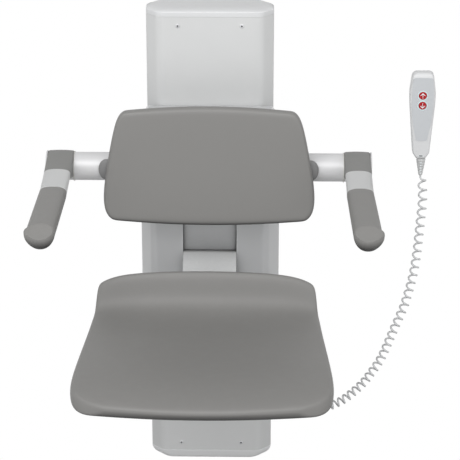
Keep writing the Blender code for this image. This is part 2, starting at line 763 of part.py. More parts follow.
def make_actuator(group, dark, steel):
    """Linear actuator in the column: its foot, motor and tube, and the box that drives it."""
    half_tube = ACTUATOR_TUBE_DIAMETER / 2
    across = (-MOTOR_SPACING - MOTOR_DIAMETER / 2, half_tube)
    foot = (ACTUATOR_FOOT_BOTTOM, ACTUATOR_FOOT_BOTTOM + ACTUATOR_FOOT_HEIGHT)
    depths = around(ACTUATOR_DEPTH, ACTUATOR_FOOT_DEPTH)
    block("actuator_gearbox", across, depths, foot, dark, group, CASTING_ROUNDING)
    bore = ROD_DIAMETER / 2 + ROD_CLEARANCE
    floor = ACTUATOR_TUBE_BOTTOM + ACTUATOR_TUBE_FLOOR
    profile = [(0.0, floor), (bore, floor), (bore, ACTUATOR_TUBE_TOP), (half_tube, ACTUATOR_TUBE_TOP),
               (half_tube, ACTUATOR_TUBE_BOTTOM), (0.0, ACTUATOR_TUBE_BOTTOM)]
    turned("actuator_tube", profile, AXIS_Z, (0.0, -ACTUATOR_DEPTH, 0.0), steel, group, 24)
    radius = MOTOR_DIAMETER / 2
    top = ACTUATOR_TUBE_BOTTOM + MOTOR_LENGTH
    profile = [(0.0, top), (radius - CASTING_ROUNDING, top), (radius, top - CASTING_ROUNDING),
               (radius, ACTUATOR_TUBE_BOTTOM), (0.0, ACTUATOR_TUBE_BOTTOM)]
    turned("actuator_motor", profile, AXIS_Z, (-MOTOR_SPACING, -ACTUATOR_DEPTH, 0.0), dark, group, 24)
    box_span = (ACTUATOR_FOOT_BOTTOM, ACTUATOR_FOOT_BOTTOM + CONTROL_BOX_HEIGHT)
    depths = around(ACTUATOR_DEPTH, CONTROL_BOX_DEPTH)
    across = around(CONTROL_BOX_SPACING, CONTROL_BOX_WIDTH)
    block("control_box", across, depths, box_span, dark, group, BLOCK_ROUNDING)


def make_rod(group, steel, metal):
    """Actuator's rod and the block that joins it to the carriage."""
    profile = [(0.0, ROD_TOP), (ROD_DIAMETER / 2, ROD_TOP), (ROD_DIAMETER / 2, ROD_TOP - ROD_LENGTH),
               (0.0, ROD_TOP - ROD_LENGTH)]
    turned("actuator_rod", profile, AXIS_Z, (0.0, -ACTUATOR_DEPTH, 0.0), steel, group, 24)
    rear = CARRIAGE_REAR + PLATE + GAP
    front = ACTUATOR_DEPTH + ROD_DIAMETER / 2 + ROD_BLOCK_WALL
    heights = (ROD_BLOCK_TOP - ROD_BLOCK_HEIGHT, ROD_BLOCK_TOP)
    rod_block = block("rod_block", around(0.0, ROD_BLOCK_WIDTH), (rear, front), heights, metal, group,
                      BLOCK_ROUNDING)
    length = 2 * ROD_BLOCK_HEIGHT
    place = (0.0, -ACTUATOR_DEPTH, ROD_TOP + GAP - length / 2)
    hole(rod_block, ROD_DIAMETER / 2 + GAP, length, AXIS_Z, place, 24)


def make_shoes(group, plastic):
    """Four shoes behind the carriage's back plate, each round one guide rail."""
    lip_rear = GUIDE_FRONT - SHOE_LIP
    groove = GUIDE_FRONT + GAP
    inner = GUIDE_WIDTH / 2 + GAP
    heights = (CARRIAGE_TOP - SHOE_INSET - SHOE_LENGTH, CARRIAGE_BOTTOM + SHOE_INSET)
    for side, sign in SIDES:
        for level, low in zip(("upper", "lower"), heights):
            x = sign * GUIDE_SPACING / 2
            right = [(SHOE_WIDTH / 2, -SHOE_FRONT), (SHOE_WIDTH / 2, -lip_rear), (inner, -lip_rear),
                     (inner, -groove)]
            outline = [(x + across, y) for across, y in both_sides(right)]
            name = "glide_shoe_%s_%s" % (level, side)
            plate(name, outline, (low, low + SHOE_LENGTH), FROM_ABOVE, plastic, group)


def make_carriage_plates(group, steel):
    """Plates that carry the seat's load from the shoes, round the cover, to the front."""
    heights = (CARRIAGE_BOTTOM, CARRIAGE_TOP)
    back = (CARRIAGE_REAR, CARRIAGE_REAR + PLATE)
    block("carriage_back_plate", around(0.0, 2 * (CARRIAGE_HALF - GAP)), back, heights, steel, group)
    depths = (CARRIAGE_REAR, FRONT_PLATE_REAR - GAP)
    for side, sign in SIDES:
        across = around(sign * (CARRIAGE_HALF + PLATE / 2), PLATE)
        block("carriage_side_plate_" + side, across, depths, heights, steel, group)
    heights = (FRONT_PLATE_BOTTOM, FRONT_PLATE_TOP)
    depths = (FRONT_PLATE_REAR, FRONT_PLATE_FRONT)
    block("carriage_front_plate", around(0.0, FRONT_PLATE_WIDTH), depths, heights, steel, group)


def make_skirts(group, white):
    """Cover over each side plate, in line with the housing's sides."""
    inner = CARRIAGE_HALF + PLATE + GAP
    heights = (CARRIAGE_BOTTOM - GAP, CARRIAGE_TOP + GAP)
    depths = (CARRIAGE_REAR - RUNNING_GAP, HOUSING_REAR - GAP)
    for side, sign in SIDES:
        across = sorted((sign * inner, sign * HOUSING_WIDTH / 2))
        block("carriage_skirt_" + side, across, depths, heights, white, group, FINE_ROUNDING)


def housing_corner(sign, inset):
    """Wedge beyond the housing's sloping top corner, seen from the front, moved in by an inset."""
    top = Vector((HOUSING_WIDTH / 2 - HOUSING_CORNER_WIDTH, HOUSING_TOP))
    low = Vector((HOUSING_WIDTH / 2, HOUSING_TOP - HOUSING_CORNER_HEIGHT))
    out = Vector((HOUSING_CORNER_HEIGHT, HOUSING_CORNER_WIDTH)).normalized()
    slope = low - top
    corners = (top - slope - out * inset, low + slope - out * inset, (top + low) / 2 + out * HOUSING_DEPTH)
    return [(sign * corner.x, corner.y) for corner in corners]


def make_housing(group, white, panel_white):
    """Moulded housing with a channel down its face, hollow behind, and the panel in the channel."""
    half = HOUSING_WIDTH / 2
    face = HOUSING_FACE_WIDTH / 2
    slope_end = HOUSING_REAR + HOUSING_SHOULDER + HOUSING_SLOPE
    front_corner = face - HOUSING_FRONT + slope_end
    corners = [(half, -HOUSING_REAR, 0.0), (half, -HOUSING_REAR - HOUSING_SHOULDER, 0.0),
               (face, -slope_end, HOUSING_SHOULDER_RADIUS), (front_corner, -HOUSING_FRONT, HOUSING_RADIUS),
               (0.0, -HOUSING_FRONT, 0.0)]
    outline = both_sides(rounded(corners)[:-1])
    housing = plate("carriage_housing", outline, (HOUSING_BOTTOM, HOUSING_TOP), FROM_ABOVE, white, group,
                    HOUSING_ROUNDING)
    wall = HOUSING_WALL
    channel = CHANNEL_WIDTH / 2
    floor = HOUSING_FRONT - CHANNEL_DEPTH
    back = HOUSING_REAR - RUNNING_GAP
    right = [(half - wall, -back), (half - wall, -HOUSING_REAR - HOUSING_SHOULDER),
             (face - wall, -slope_end), (front_corner - wall, -HOUSING_FRONT + wall),
             (channel + wall, -HOUSING_FRONT + wall), (channel + wall, -floor + wall)]
    heights = (HOUSING_BOTTOM + wall, HOUSING_TOP - wall)
    hollow = plate_cutter("housing_hollow", both_sides(right), heights, FROM_ABOVE)
    for side, sign in SIDES:
        span = (HOUSING_REAR - PLATE, HOUSING_FRONT + PLATE)
        outer = plate_cutter("corner_" + side, housing_corner(sign, 0.0), span, FROM_FRONT)
        combine(housing, outer, "DIFFERENCE")
        inner = plate_cutter("inner_corner_" + side, housing_corner(sign, wall), span, FROM_FRONT)
        combine(hollow, inner, "DIFFERENCE")
    combine(housing, hollow, "DIFFERENCE")
    cutter = block_cutter("channel", around(0.0, CHANNEL_WIDTH), (floor, HOUSING_FRONT + wall),
                          (HOUSING_BOTTOM - wall, HOUSING_TOP + wall))
    combine(housing, cutter, "DIFFERENCE")
    opening = (BRACKET_ARM_BOTTOM - GAP, BRACKET_ARM_TOP + GAP)
    cutter = block_cutter("bracket_opening", around(0.0, BRACKET_ARM_WIDTH + 2 * GAP),
                          (floor - 2 * wall, HOUSING_FRONT), opening)
    combine(housing, cutter, "DIFFERENCE")
    for side, sign in SIDES:
        across = around(sign * CLAMP_SPACING / 2, CLAMP_WIDTH + 2 * GAP)
        heights = around(0.0, CROSSBAR_DIAMETER + 2 * (CLAMP_LIP + 2 * GAP))
        cutter = block_cutter("clamp_opening_" + side, across, (floor, HOUSING_FRONT + wall), heights)
        combine(housing, cutter, "DIFFERENCE")
        for z in (FRONT_PLATE_TOP - BOSS_INSET, FRONT_PLATE_BOTTOM + BOSS_INSET):
            rear = FRONT_PLATE_FRONT + GAP
            length = HOUSING_FRONT - wall / 2 - rear
            mesh = rod_mesh("housing_boss", BOSS_DIAMETER / 2, length, AXIS_FRONT, 16)
            boss = add_cutter("housing_boss", mesh, (sign * BOSS_SPACING / 2, -rear - length / 2, z))
            combine(housing, boss, "UNION")
    depths = (floor + GAP, floor + GAP + PANEL_THICKNESS)
    heights = (BRACKET_ARM_TOP + 2 * GAP, HOUSING_TOP - HOUSING_ROUNDING)
    block("centre_panel", around(0.0, CHANNEL_WIDTH - 2 * GAP), depths, heights, panel_white, group)


def make_crossbar(group, satin, dark):
    """Tube across the carriage, clamped to the front plate, with a cap in each end."""
    inner = CROSSBAR_RADIUS - CROSSBAR_WALL
    profile = [(inner, CROSSBAR_END), (CROSSBAR_RADIUS, CROSSBAR_END), (CROSSBAR_RADIUS, -CROSSBAR_END),
               (inner, -CROSSBAR_END)]
    place = (0.0, -CROSSBAR_DEPTH, 0.0)
    turned("crossbar", profile, AXIS_X, place, satin, group)
    half_height = CROSSBAR_RADIUS + GAP + CLAMP_LIP
    for side, sign in SIDES:
        clamp = block("crossbar_clamp_" + side, around(sign * CLAMP_SPACING / 2, CLAMP_WIDTH),
                      (FRONT_PLATE_FRONT + GAP, CROSSBAR_DEPTH - GAP), (-half_height, half_height), dark,
                      group, BLOCK_ROUNDING)
        centre = (sign * CLAMP_SPACING / 2, -CROSSBAR_DEPTH, 0.0)
        hole(clamp, CROSSBAR_RADIUS + GAP, 2 * CLAMP_WIDTH, AXIS_X, centre, 32)
        spigot = inner - GAP
        face = HUB_RADIUS - BLOCK_ROUNDING
        rim = END_CAP_THICKNESS - BLOCK_ROUNDING
        profile = [(0.0, END_CAP_THICKNESS), (face, END_CAP_THICKNESS), (HUB_RADIUS, rim),
                   (HUB_RADIUS, 0.0), (spigot, 0.0), (spigot, -END_CAP_SPIGOT), (0.0, -END_CAP_SPIGOT)]
        axis = (sign, 0.0, 0.0)
        place = (sign * (CROSSBAR_END + GAP), -CROSSBAR_DEPTH, 0.0)
        turned("crossbar_end_cap_" + side, profile, axis, place, satin, group, 24)


def make_backrest(group, dark, soft):
    """Carrier on the front of the crossbar, and the pad on the carrier."""
    outline = []
    for step in range(20):
        angle = 2 * math.pi * step / 20
        outline.append((CARRIER_DEPTH + CARRIER_THICKNESS / 2 * math.cos(angle),
                        CARRIER_RISE + CARRIER_HEIGHT / 2 * math.sin(angle)))
    carrier = plate("backrest_carrier", outline, around(0.0, CARRIER_LENGTH), FROM_SIDE, dark, group)
    lip = CROSSBAR_RADIUS + GAP + CARRIER_LIP
    for side, sign in SIDES:
        x = sign * CLAMP_SPACING / 2
        saddle = block_cutter("saddle_" + side, around(x, CLAMP_WIDTH),
                              (CROSSBAR_DEPTH + GAP, CARRIER_DEPTH), (-lip, lip))
        combine(carrier, saddle, "UNION")
        centre = (x, -CROSSBAR_DEPTH, 0.0)
        hole(carrier, CROSSBAR_RADIUS + GAP, 1.5 * CLAMP_WIDTH, AXIS_X, centre, 32)
    rows = len(BACKREST_HALF_WIDTHS) - 1
    columns = len(BACKREST_STATIONS_ACROSS) - 1
    centre = (BACKREST_TOP + BACKREST_BOTTOM) / 2
    half_height = (BACKREST_TOP - BACKREST_BOTTOM) / 2

    def shape(i, j, k):
        across = BACKREST_STATIONS_ACROSS[i]
        height, half_width = BACKREST_HALF_WIDTHS[k]
        up = (height - centre) / half_height
        z = height - BACKREST_BOW * up * abs(up) * across * across
        edge = 1.0 - max(abs(across), abs(up)) ** 6
        depth = BACKREST_REAR + (BACKREST_THICKNESS + BACKREST_CROWN * edge if j == 0 else 0.0)
        return (across * half_width, -depth, z)

    pad = add_part("backrest_pad", cage("backrest_pad", (columns, 1, rows), shape), soft, group)
    subdivide(pad)


def seat_point(i, j, k):
    """Point of the seat's cage: i across, j from the front to the rear, k from below to above."""
    station = len(SEAT_ABOVE) - 1 - j
    depth, height = (SEAT_BELOW, SEAT_ABOVE)[k][station]
    across = SEAT_STATIONS_ACROSS[i]
    half_width = between(SEAT_HALF_WIDTHS, depth)
    lip = max(0.0, 1.0 - (SEAT_ABOVE[station][0] - SEAT_ABOVE[0][0]) / SEAT_LIP_LENGTH)
    height -= lip * (SEAT_LIP_FALL * across ** 2 + SEAT_LIP_CORNER * across ** 10)
    if k:
        height -= (1.0 - lip) * SEAT_EDGE_ROLL * across ** 8
    flat_end = SEAT_ABOVE[6][0]
    front = max(0.0, (depth - flat_end) / (SEAT_ABOVE[-1][0] - flat_end))
    depth -= SEAT_FRONT_BOW * front ** 2 * across ** 2
    height = max(height, -SEAT_DROP)
    return (across * half_width, -HINGE_DEPTH - depth, HINGE_HEIGHT + height)


def make_seat(group, soft, steel):
    """Seat pad with its raised rear lip, and the frame under it with two lugs on the hinge pin."""
    counts = (len(SEAT_STATIONS_ACROSS) - 1, len(SEAT_ABOVE) - 1, 1)
    pad = add_part("seat_pad", cage("seat_pad", counts, seat_point), soft, group)
    subdivide(pad)
    rear = HINGE_DEPTH + SEAT_FRAME_SETBACK
    frame = block("seat_frame", around(0.0, SEAT_FRAME_WIDTH), (rear, rear + SEAT_FRAME_LENGTH),
                  (FRAME_BOTTOM, FRAME_TOP), steel, group)
    toe = HINGE_DEPTH + LUG_LENGTH
    rib = FRAME_BOTTOM - LUG_RIB
    lap = (FRAME_BOTTOM + FRAME_TOP) / 2
    outline = arc((HINGE_DEPTH, HINGE_HEIGHT), LUG_RADIUS, 0.0, 180.0, 12)
    outline += [(HINGE_DEPTH - LUG_RADIUS, rib), (toe - LUG_RIB, rib), (toe, lap),
                (HINGE_DEPTH + LUG_RADIUS, lap)]
    for side, sign in SIDES:
        centre = sign * (BRACKET_ARM_WIDTH / 2 + RUNNING_GAP + LUG_THICKNESS / 2)
        lug = plate_cutter("lug_" + side, outline, around(centre, LUG_THICKNESS), FROM_SIDE)
        combine(frame, lug, "UNION")
    across = 2 * (BRACKET_ARM_WIDTH + 4 * LUG_THICKNESS)
    hole(frame, HINGE_PIN_DIAMETER / 2 + GAP, across, AXIS_X, (0.0, -HINGE_DEPTH, HINGE_HEIGHT))


def make_seat_bracket(group, grey, steel):
    """Cast arm from the front plate to the seat's hinge, with a nose that the folded-down seat rests on."""
    rear = FRONT_PLATE_FRONT + GAP
    top = BRACKET_ARM_TOP
    low = BRACKET_ARM_BOTTOM
    ledge = HOUSING_FRONT + BRACKET_LEDGE
    slope_end = ledge + BRACKET_SLOPE
    nose_low = NOSE_TOP - NOSE_HEIGHT
    toe = HINGE_DEPTH + NOSE_LENGTH
    outline = [(rear, top), (ledge - BRACKET_WALL_STEP, top), (ledge, top - BRACKET_LEDGE_FALL),
               (slope_end, HINGE_HEIGHT + BRACKET_NECK)]
    outline += arc((HINGE_DEPTH, HINGE_HEIGHT), LUG_RADIUS, 150.0, 0.0, 10)
    outline += [(HINGE_DEPTH + LUG_RADIUS + BRACKET_NECK, NOSE_TOP), (toe, NOSE_TOP), (toe, nose_low),
                (toe - NOSE_RUN, nose_low - NOSE_CHAMFER), (slope_end, low), (rear, low)]
    bracket = plate("seat_bracket", outline, around(0.0, BRACKET_ARM_WIDTH), FROM_SIDE, grey, group,
                    EDGE_ROUNDING)
    wall = BRACKET_ARM_WALL
    knee = HINGE_DEPTH - LUG_RADIUS
    pocket = [(rear + wall, top - wall), (ledge - wall, top - wall), (slope_end - wall, HINGE_HEIGHT - wall),
              (knee - wall, HINGE_HEIGHT - wall), (knee, NOSE_TOP - wall), (knee, low - wall),
              (rear + wall, low - wall)]
    inside = around(0.0, BRACKET_ARM_WIDTH - 2 * wall)
    combine(bracket, plate_cutter("bracket_pocket", pocket, inside, FROM_SIDE), "DIFFERENCE")
    centre = (0.0, -HINGE_DEPTH, HINGE_HEIGHT)
    hole(bracket, HINGE_PIN_DIAMETER / 2 + GAP, 1.5 * BRACKET_ARM_WIDTH, AXIS_X, centre)
    half = BRACKET_ARM_WIDTH / 2 + RUNNING_GAP + LUG_THICKNESS + HINGE_PIN_OVERHANG
    radius = HINGE_PIN_DIAMETER / 2
    end = half - FINE_ROUNDING
    tip = radius - FINE_ROUNDING
    profile = [(0.0, half), (tip, half), (radius, end), (radius, -end), (tip, -half), (0.0, -half)]
    turned("seat_hinge_pin", profile, AXIS_X, centre, steel, group, 24)


def make_armrest(side, sign, group, grey, light, soft, plastic):
    """Folding armrest: a hub on the crossbar's end, its bush, a beam and a soft grip on the beam."""
    x = sign * ARM_X
    centre = (CROSSBAR_DEPTH, 0.0)
    outline = [(HUB_FRONT, HUB_RADIUS), *arc(centre, HUB_RADIUS, 90.0, 285.0, 16), (HUB_FRONT, -HUB_DROP)]
    hub = plate("armrest_hub_" + side, outline, around(x, HUB_WIDTH), FROM_SIDE, grey, group,
                EDGE_ROUNDING)
    sleeve = CROSSBAR_RADIUS + GAP + BUSH_WALL
    hole(hub, sleeve + GAP, 2 * HUB_WIDTH, AXIS_X, (x, -CROSSBAR_DEPTH, 0.0), 32)
    bore = CROSSBAR_RADIUS + GAP
    start = HUB_WIDTH / 2 + GAP + BUSH_FLANGE
    profile = [(bore, start), (HUB_RADIUS, start), (HUB_RADIUS, start - BUSH_FLANGE),
               (sleeve, start - BUSH_FLANGE), (sleeve, -HUB_WIDTH / 2), (bore, -HUB_WIDTH / 2)]
    inward = (-sign, 0.0, 0.0)
    turned("armrest_bush_" + side, profile, inward, (x, -CROSSBAR_DEPTH, 0.0), plastic, group)
    heights = (BEAM_TOP - BEAM_HEIGHT, BEAM_TOP)
    beam = block("armrest_beam_" + side, around(x, BEAM_WIDTH), (BEAM_REAR, BEAM_FRONT), heights, light,
                 group, BEAM_ROUNDING)
    tenon_height = around(BEAM_TOP - BEAM_HEIGHT / 2, TENON_HEIGHT)
    tip = BEAM_FRONT + TENON_LENGTH
    tenon = block_cutter("tenon_" + side, around(x, TENON_WIDTH), (BEAM_FRONT - TENON_WIDTH, tip), tenon_height)
    combine(beam, tenon, "UNION")

    def shape(i, j, k):
        along = 1.0 - j / GRIP_STATIONS
        end = along ** 10
        across = GRIP_STATIONS_ACROSS[i] * GRIP_FULLNESS[k] * between(GRIP_HALF_WIDTHS, along)
        height = GRIP_TOP - GRIP_HEIGHT * (1.0 - GRIP_LEVELS[k]) + end * GRIP_TIP_RISE[k]
        depth = GRIP_REAR + GRIP_LENGTH * along - end * GRIP_TIP_SETBACK[k]
        depth -= end * GRIP_TIP_BOW * GRIP_STATIONS_ACROSS[i] ** 2
        return (x + across + sign * GRIP_SPLAY * along, -depth, height)

    grip = add_part("armrest_grip_" + side, cage("armrest_grip_" + side, (3, GRIP_STATIONS, 2), shape), soft,
                    group)
    subdivide(grip)
    mortise_height = around(sum(tenon_height) / 2, TENON_HEIGHT + 2 * GAP)
    mortise = block_cutter("mortise_" + side, around(x, TENON_WIDTH + 2 * GAP),
                           (BEAM_FRONT - TENON_WIDTH, tip + GAP), mortise_height)
    combine(grip, mortise, "DIFFERENCE")


def handset_outline(inset):
    """Closed outline of the hand control from the front, made smaller by an inset."""
    low = HANDSET_CORNERS[0][1] + inset
    high = HANDSET_CORNERS[-1][1] - inset
    right = []
    for across, up, radius in HANDSET_CORNERS:
        smaller = max(radius - inset, HANDSET_LEAST_RADIUS)
        right.append((across - inset, min(max(up, low), high), smaller))
    corners = right + [(-across, up, radius) for across, up, radius in reversed(right)]
    return [(HANDSET_X + across, up) for across, up in rounded(corners, 2)]


def make_handset(group, white, panel_grey, dark):
    """Two shells, the panel on the front one, and the board inside on a post."""
    split = (HANDSET_SPLIT + GAP, HANDSET_FRONT)
    body = plate("handset_body", handset_outline(0.0), split, FROM_FRONT, white, group, HANDSET_EDGE)
    inner = handset_outline(HANDSET_WALL)
    cavity = (HANDSET_SPLIT - HANDSET_WALL, HANDSET_FRONT - HANDSET_WALL)
    combine(body, plate_cutter("handset_front_hollow", inner, cavity, FROM_FRONT), "DIFFERENCE")
    split = (HANDSET_REAR, HANDSET_SPLIT)
    back = plate("handset_back", handset_outline(0.0), split, FROM_FRONT, white, group, HANDSET_EDGE)
    cavity = (HANDSET_REAR + HANDSET_WALL, HANDSET_SPLIT + HANDSET_WALL)
    combine(back, plate_cutter("handset_rear_hollow", inner, cavity, FROM_FRONT), "DIFFERENCE")
    across = around(HANDSET_X, BOARD_POST)
    middle_height = sum(BUTTON_HEIGHTS) / 2
    post = block_cutter("board_post", across, (HANDSET_REAR + HANDSET_WALL / 2, BOARD_DEPTH - GAP),
                        around(middle_height, BOARD_POST))
    combine(back, post, "UNION")
    block("handset_board", around(HANDSET_X, BOARD_WIDTH), (BOARD_DEPTH, BOARD_DEPTH + BOARD_SHEET),
          around(middle_height, BOARD_LENGTH), dark, group)
    corners = list(PANEL_CORNERS) + [(-across, up, radius) for across, up, radius in reversed(PANEL_CORNERS)]
    outline = [(HANDSET_X + across, up) for across, up in rounded(corners, 4)]
    panel = plate("handset_panel", outline, (PANEL_REAR, PANEL_FRONT), FROM_FRONT, panel_grey, group)
    for z in BUTTON_HEIGHTS:
        for target in (body, panel):
            place = (HANDSET_X, -HANDSET_FRONT, z)
            hole(target, BUTTON_DIAMETER / 2 + BUTTON_CLEARANCE, 4 * HANDSET_WALL, AXIS_FRONT, place, 20)


def make_button(name, height, group, red):
    """Push button: a cap that stands through the panel, a flange that keeps it in, and a stem."""
    radius = BUTTON_DIAMETER / 2
    top = PANEL_FRONT + BUTTON_PROUD
    under = HANDSET_FRONT - HANDSET_WALL - GAP
    foot = BOARD_DEPTH + BOARD_SHEET + BUTTON_TRAVEL + GAP
    flange = radius + BUTTON_CLEARANCE + BUTTON_FLANGE
    stem = BUTTON_STEM_DIAMETER / 2
    face = radius - 2 * BUTTON_ROUNDING
    profile = [(0.0, top), (face, top), (radius, top - BUTTON_ROUNDING), (radius, under), (flange, under),
               (flange, under - BUTTON_FLANGE_SHEET), (stem, under - BUTTON_FLANGE_SHEET), (stem, foot),
               (0.0, foot)]
    turned(name, profile, AXIS_FRONT, (HANDSET_X, 0.0, height), red, group, 20)


def make_holder(group, white):
    """Hook on the wall that the hand control hangs on: a base with two holes, and a post."""
    heights = around(HOLDER_CENTRE, HOLDER_HEIGHT)
    holder = block("handset_holder", around(HANDSET_X, HOLDER_WIDTH), (0.0, HOLDER_BASE), heights, white, group)
    post = block_cutter("holder_post", around(HANDSET_X, HOLDER_POST_WIDTH),
                        (HOLDER_BASE / 2, HANDSET_REAR - GAP), around(HOLDER_CENTRE, HOLDER_POST_HEIGHT))
    combine(holder, post, "UNION")
    for z in around(HOLDER_CENTRE, HOLDER_HOLE_SPACING):
        place = (HANDSET_X, -HOLDER_BASE / 2, z)
        hole(holder, HOLDER_HOLE_DIAMETER / 2, 4 * HOLDER_BASE, AXIS_FRONT, place, 16)


def make_strain_relief(group, grey):
    """Ribbed sleeve that tapers from the hand control to the cord."""
    top = RELIEF_TOP_DIAMETER / 2
    low = RELIEF_LOW_DIAMETER / 2
    profile = [(0.0, RELIEF_TOP)]
    pitch = RELIEF_LENGTH / RELIEF_RIBS
    for rib in range(RELIEF_RIBS):
        flank = RELIEF_RIB_SHARE + RELIEF_FLANK_SHARE
        places = (0.0, RELIEF_RIB_SHARE, flank, 1.0 - RELIEF_FLANK_SHARE)
        for place, groove in zip(places, (0.0, 0.0, RELIEF_GROOVE, RELIEF_GROOVE)):
            fall = pitch * (rib + place)
            radius = top + (low - top) * fall / RELIEF_LENGTH - groove
            profile.append((radius, RELIEF_TOP - fall))
    profile += [(low, RELIEF_BOTTOM), (0.0, RELIEF_BOTTOM)]
    turned("handset_strain_relief", profile, AXIS_Z, (HANDSET_X, -CORD_DEPTH, 0.0), grey, group, 12)


def make_gland(group, grey):
    """Gland on the side of the cover, where the cord goes in."""
    flange = GLAND_FLANGE_DIAMETER / 2
    neck = GLAND_NECK_DIAMETER / 2
    spigot = GLAND_SPIGOT_DIAMETER / 2
    tip = GLAND_TIP_DIAMETER / 2
    profile = [(0.0, GLAND_LENGTH), (tip, GLAND_LENGTH), (neck, 2 * GLAND_FLANGE_SHEET),
               (neck, GLAND_FLANGE_SHEET), (flange, GLAND_FLANGE_SHEET), (flange, 0.0), (spigot, 0.0),
               (spigot, -GLAND_SPIGOT_LENGTH), (0.0, -GLAND_SPIGOT_LENGTH)]
    place = (COVER_WIDTH / 2 + GAP, -GLAND_DEPTH, GLAND_HEIGHT)
    turned("cord_gland", profile, AXIS_X, place, grey, group, 16)


def cord_route():
    """Middle line of the curly cord, from the strain relief down and across to the gland."""
    route = [(HANDSET_X, CORD_DEPTH, CORD_TOP), (HANDSET_X, CORD_DEPTH, CORD_TOP - WIRE_DIAMETER)]
    for across, forward, down in CORD_ROUTE:
        route.append((HANDSET_X + (CORD_END - HANDSET_X) * across,
                      CORD_DEPTH + (GLAND_DEPTH - CORD_DEPTH) * forward,
                      CORD_TOP + (GLAND_HEIGHT - CORD_TOP) * down))
    route += [(CORD_END + WIRE_DIAMETER, GLAND_DEPTH, GLAND_HEIGHT), (CORD_END, GLAND_DEPTH, GLAND_HEIGHT)]
    return route


def smooth_route(points, steps=16):
    """Close points on a smooth curve through the points of a route, as an array."""
    known = [np.array((x, -depth, z)) for x, depth, z in points]
    known = [2 * known[0] - known[1], *known, 2 * known[-1] - known[-2]]
    close = []
    for index in range(1, len(known) - 2):
        before, start, stop, after = known[index - 1:index + 3]
        for step in range(steps):
            t = step / steps
            close.append(0.5 * (2 * start + (stop - before) * t
                                + (2 * before - 5 * start + 4 * stop - after) * t**2
                                + (3 * start - before - 3 * stop + after) * t**3))
    close.append(known[-2])
    return np.array(close)


def curly_points():
    """Points of the curled wire, with a straight end of one wire diameter at each end."""
    line = smooth_route(cord_route())
    lengths = np.concatenate([[0.0], np.cumsum(np.linalg.norm(np.diff(line, axis=0), axis=1))])
    total = lengths[-1]
    start = WIRE_DIAMETER
    stop = total - WIRE_DIAMETER
    curl_radius = (CURL_DIAMETER - WIRE_DIAMETER) / 2
    places = [start]
    turns = [0.0]
    while places[-1] < stop:
        share = (places[-1] - start) / (stop - start)
        pitch = CURL_PITCH_TOP + (CURL_PITCH_LOW - CURL_PITCH_TOP) * share
        places.append(places[-1] + pitch / POINTS_PER_CURL)
        turns.append(turns[-1] + 1.0 / POINTS_PER_CURL)
    curls = round(turns[-1])
    reach = (stop - start) / (places[-1] - start)
    points = [line[0]]
    for place, turn in zip(places, turns):
        along = start + (place - start) * reach
        centre = np.array([np.interp(along, lengths, line[:, axis]) for axis in range(3)])
        ahead = np.array([np.interp(min(along + 0.001, total), lengths, line[:, axis]) for axis in range(3)])
        behind = np.array([np.interp(max(along - 0.001, 0.0), lengths, line[:, axis]) for axis in range(3)])
        tangent = (ahead - behind) / np.linalg.norm(ahead - behind)
        side = np.cross(tangent, (0.0, 1.0, 0.0))
        side /= np.linalg.norm(side)
        other = np.cross(tangent, side)
        turn_now = turn * curls / turns[-1]
        swell = min(1.0, turn_now / 0.6, (curls - turn_now) / 0.6)
        angle = -2 * math.pi * (turn_now + CURL_START)
        offset = curl_radius * swell * (math.cos(angle) * side + math.sin(angle) * other)
        points.append(centre + offset)
    points.append(line[-1])
    return np.array(points), curls


def least_gap(points):
    """Smallest gap between stretches of the wire that lie more than half a curl apart."""
    least = 1.0
    reach = POINTS_PER_CURL // 2 + 1
    for index in range(len(points) - reach):
        rest = np.linalg.norm(points[index + reach:] - points[index], axis=1)
        least = min(least, rest.min())
    return least - WIRE_DIAMETER


def make_cord(group, grey):
    """One unbroken tube: straight ends, and curls between them that close up towards the gland."""
    points, curls = curly_points()
    length = np.linalg.norm(np.diff(points, axis=0), axis=1).sum()
    gap = least_gap(points)
    print("cord: %d curls, %.3f m of wire, least gap %.2f mm" % (curls, length, gap * 1000.0))
    if gap < LEAST_CORD_GAP:
        print("cord: the curls are closer than they should be")
    curve = bpy.data.curves.new("handset_cord", "CURVE")
    curve.dimensions = "3D"
    curve.bevel_depth = WIRE_DIAMETER / 2
    curve.bevel_resolution = 1
    curve.use_fill_caps = True
    spline = curve.splines.new("POLY")
    spline.points.add(len(points) - 1)
    for point, place in zip(spline.points, points):
        point.co = (*place, 1.0)
    curve.materials.append(grey)
    made = bpy.data.objects.new("handset_cord", curve)
    PARTS.objects.link(made)
    made.parent = group
    made.matrix_parent_inverse = Matrix.Translation(group.location).inverted()


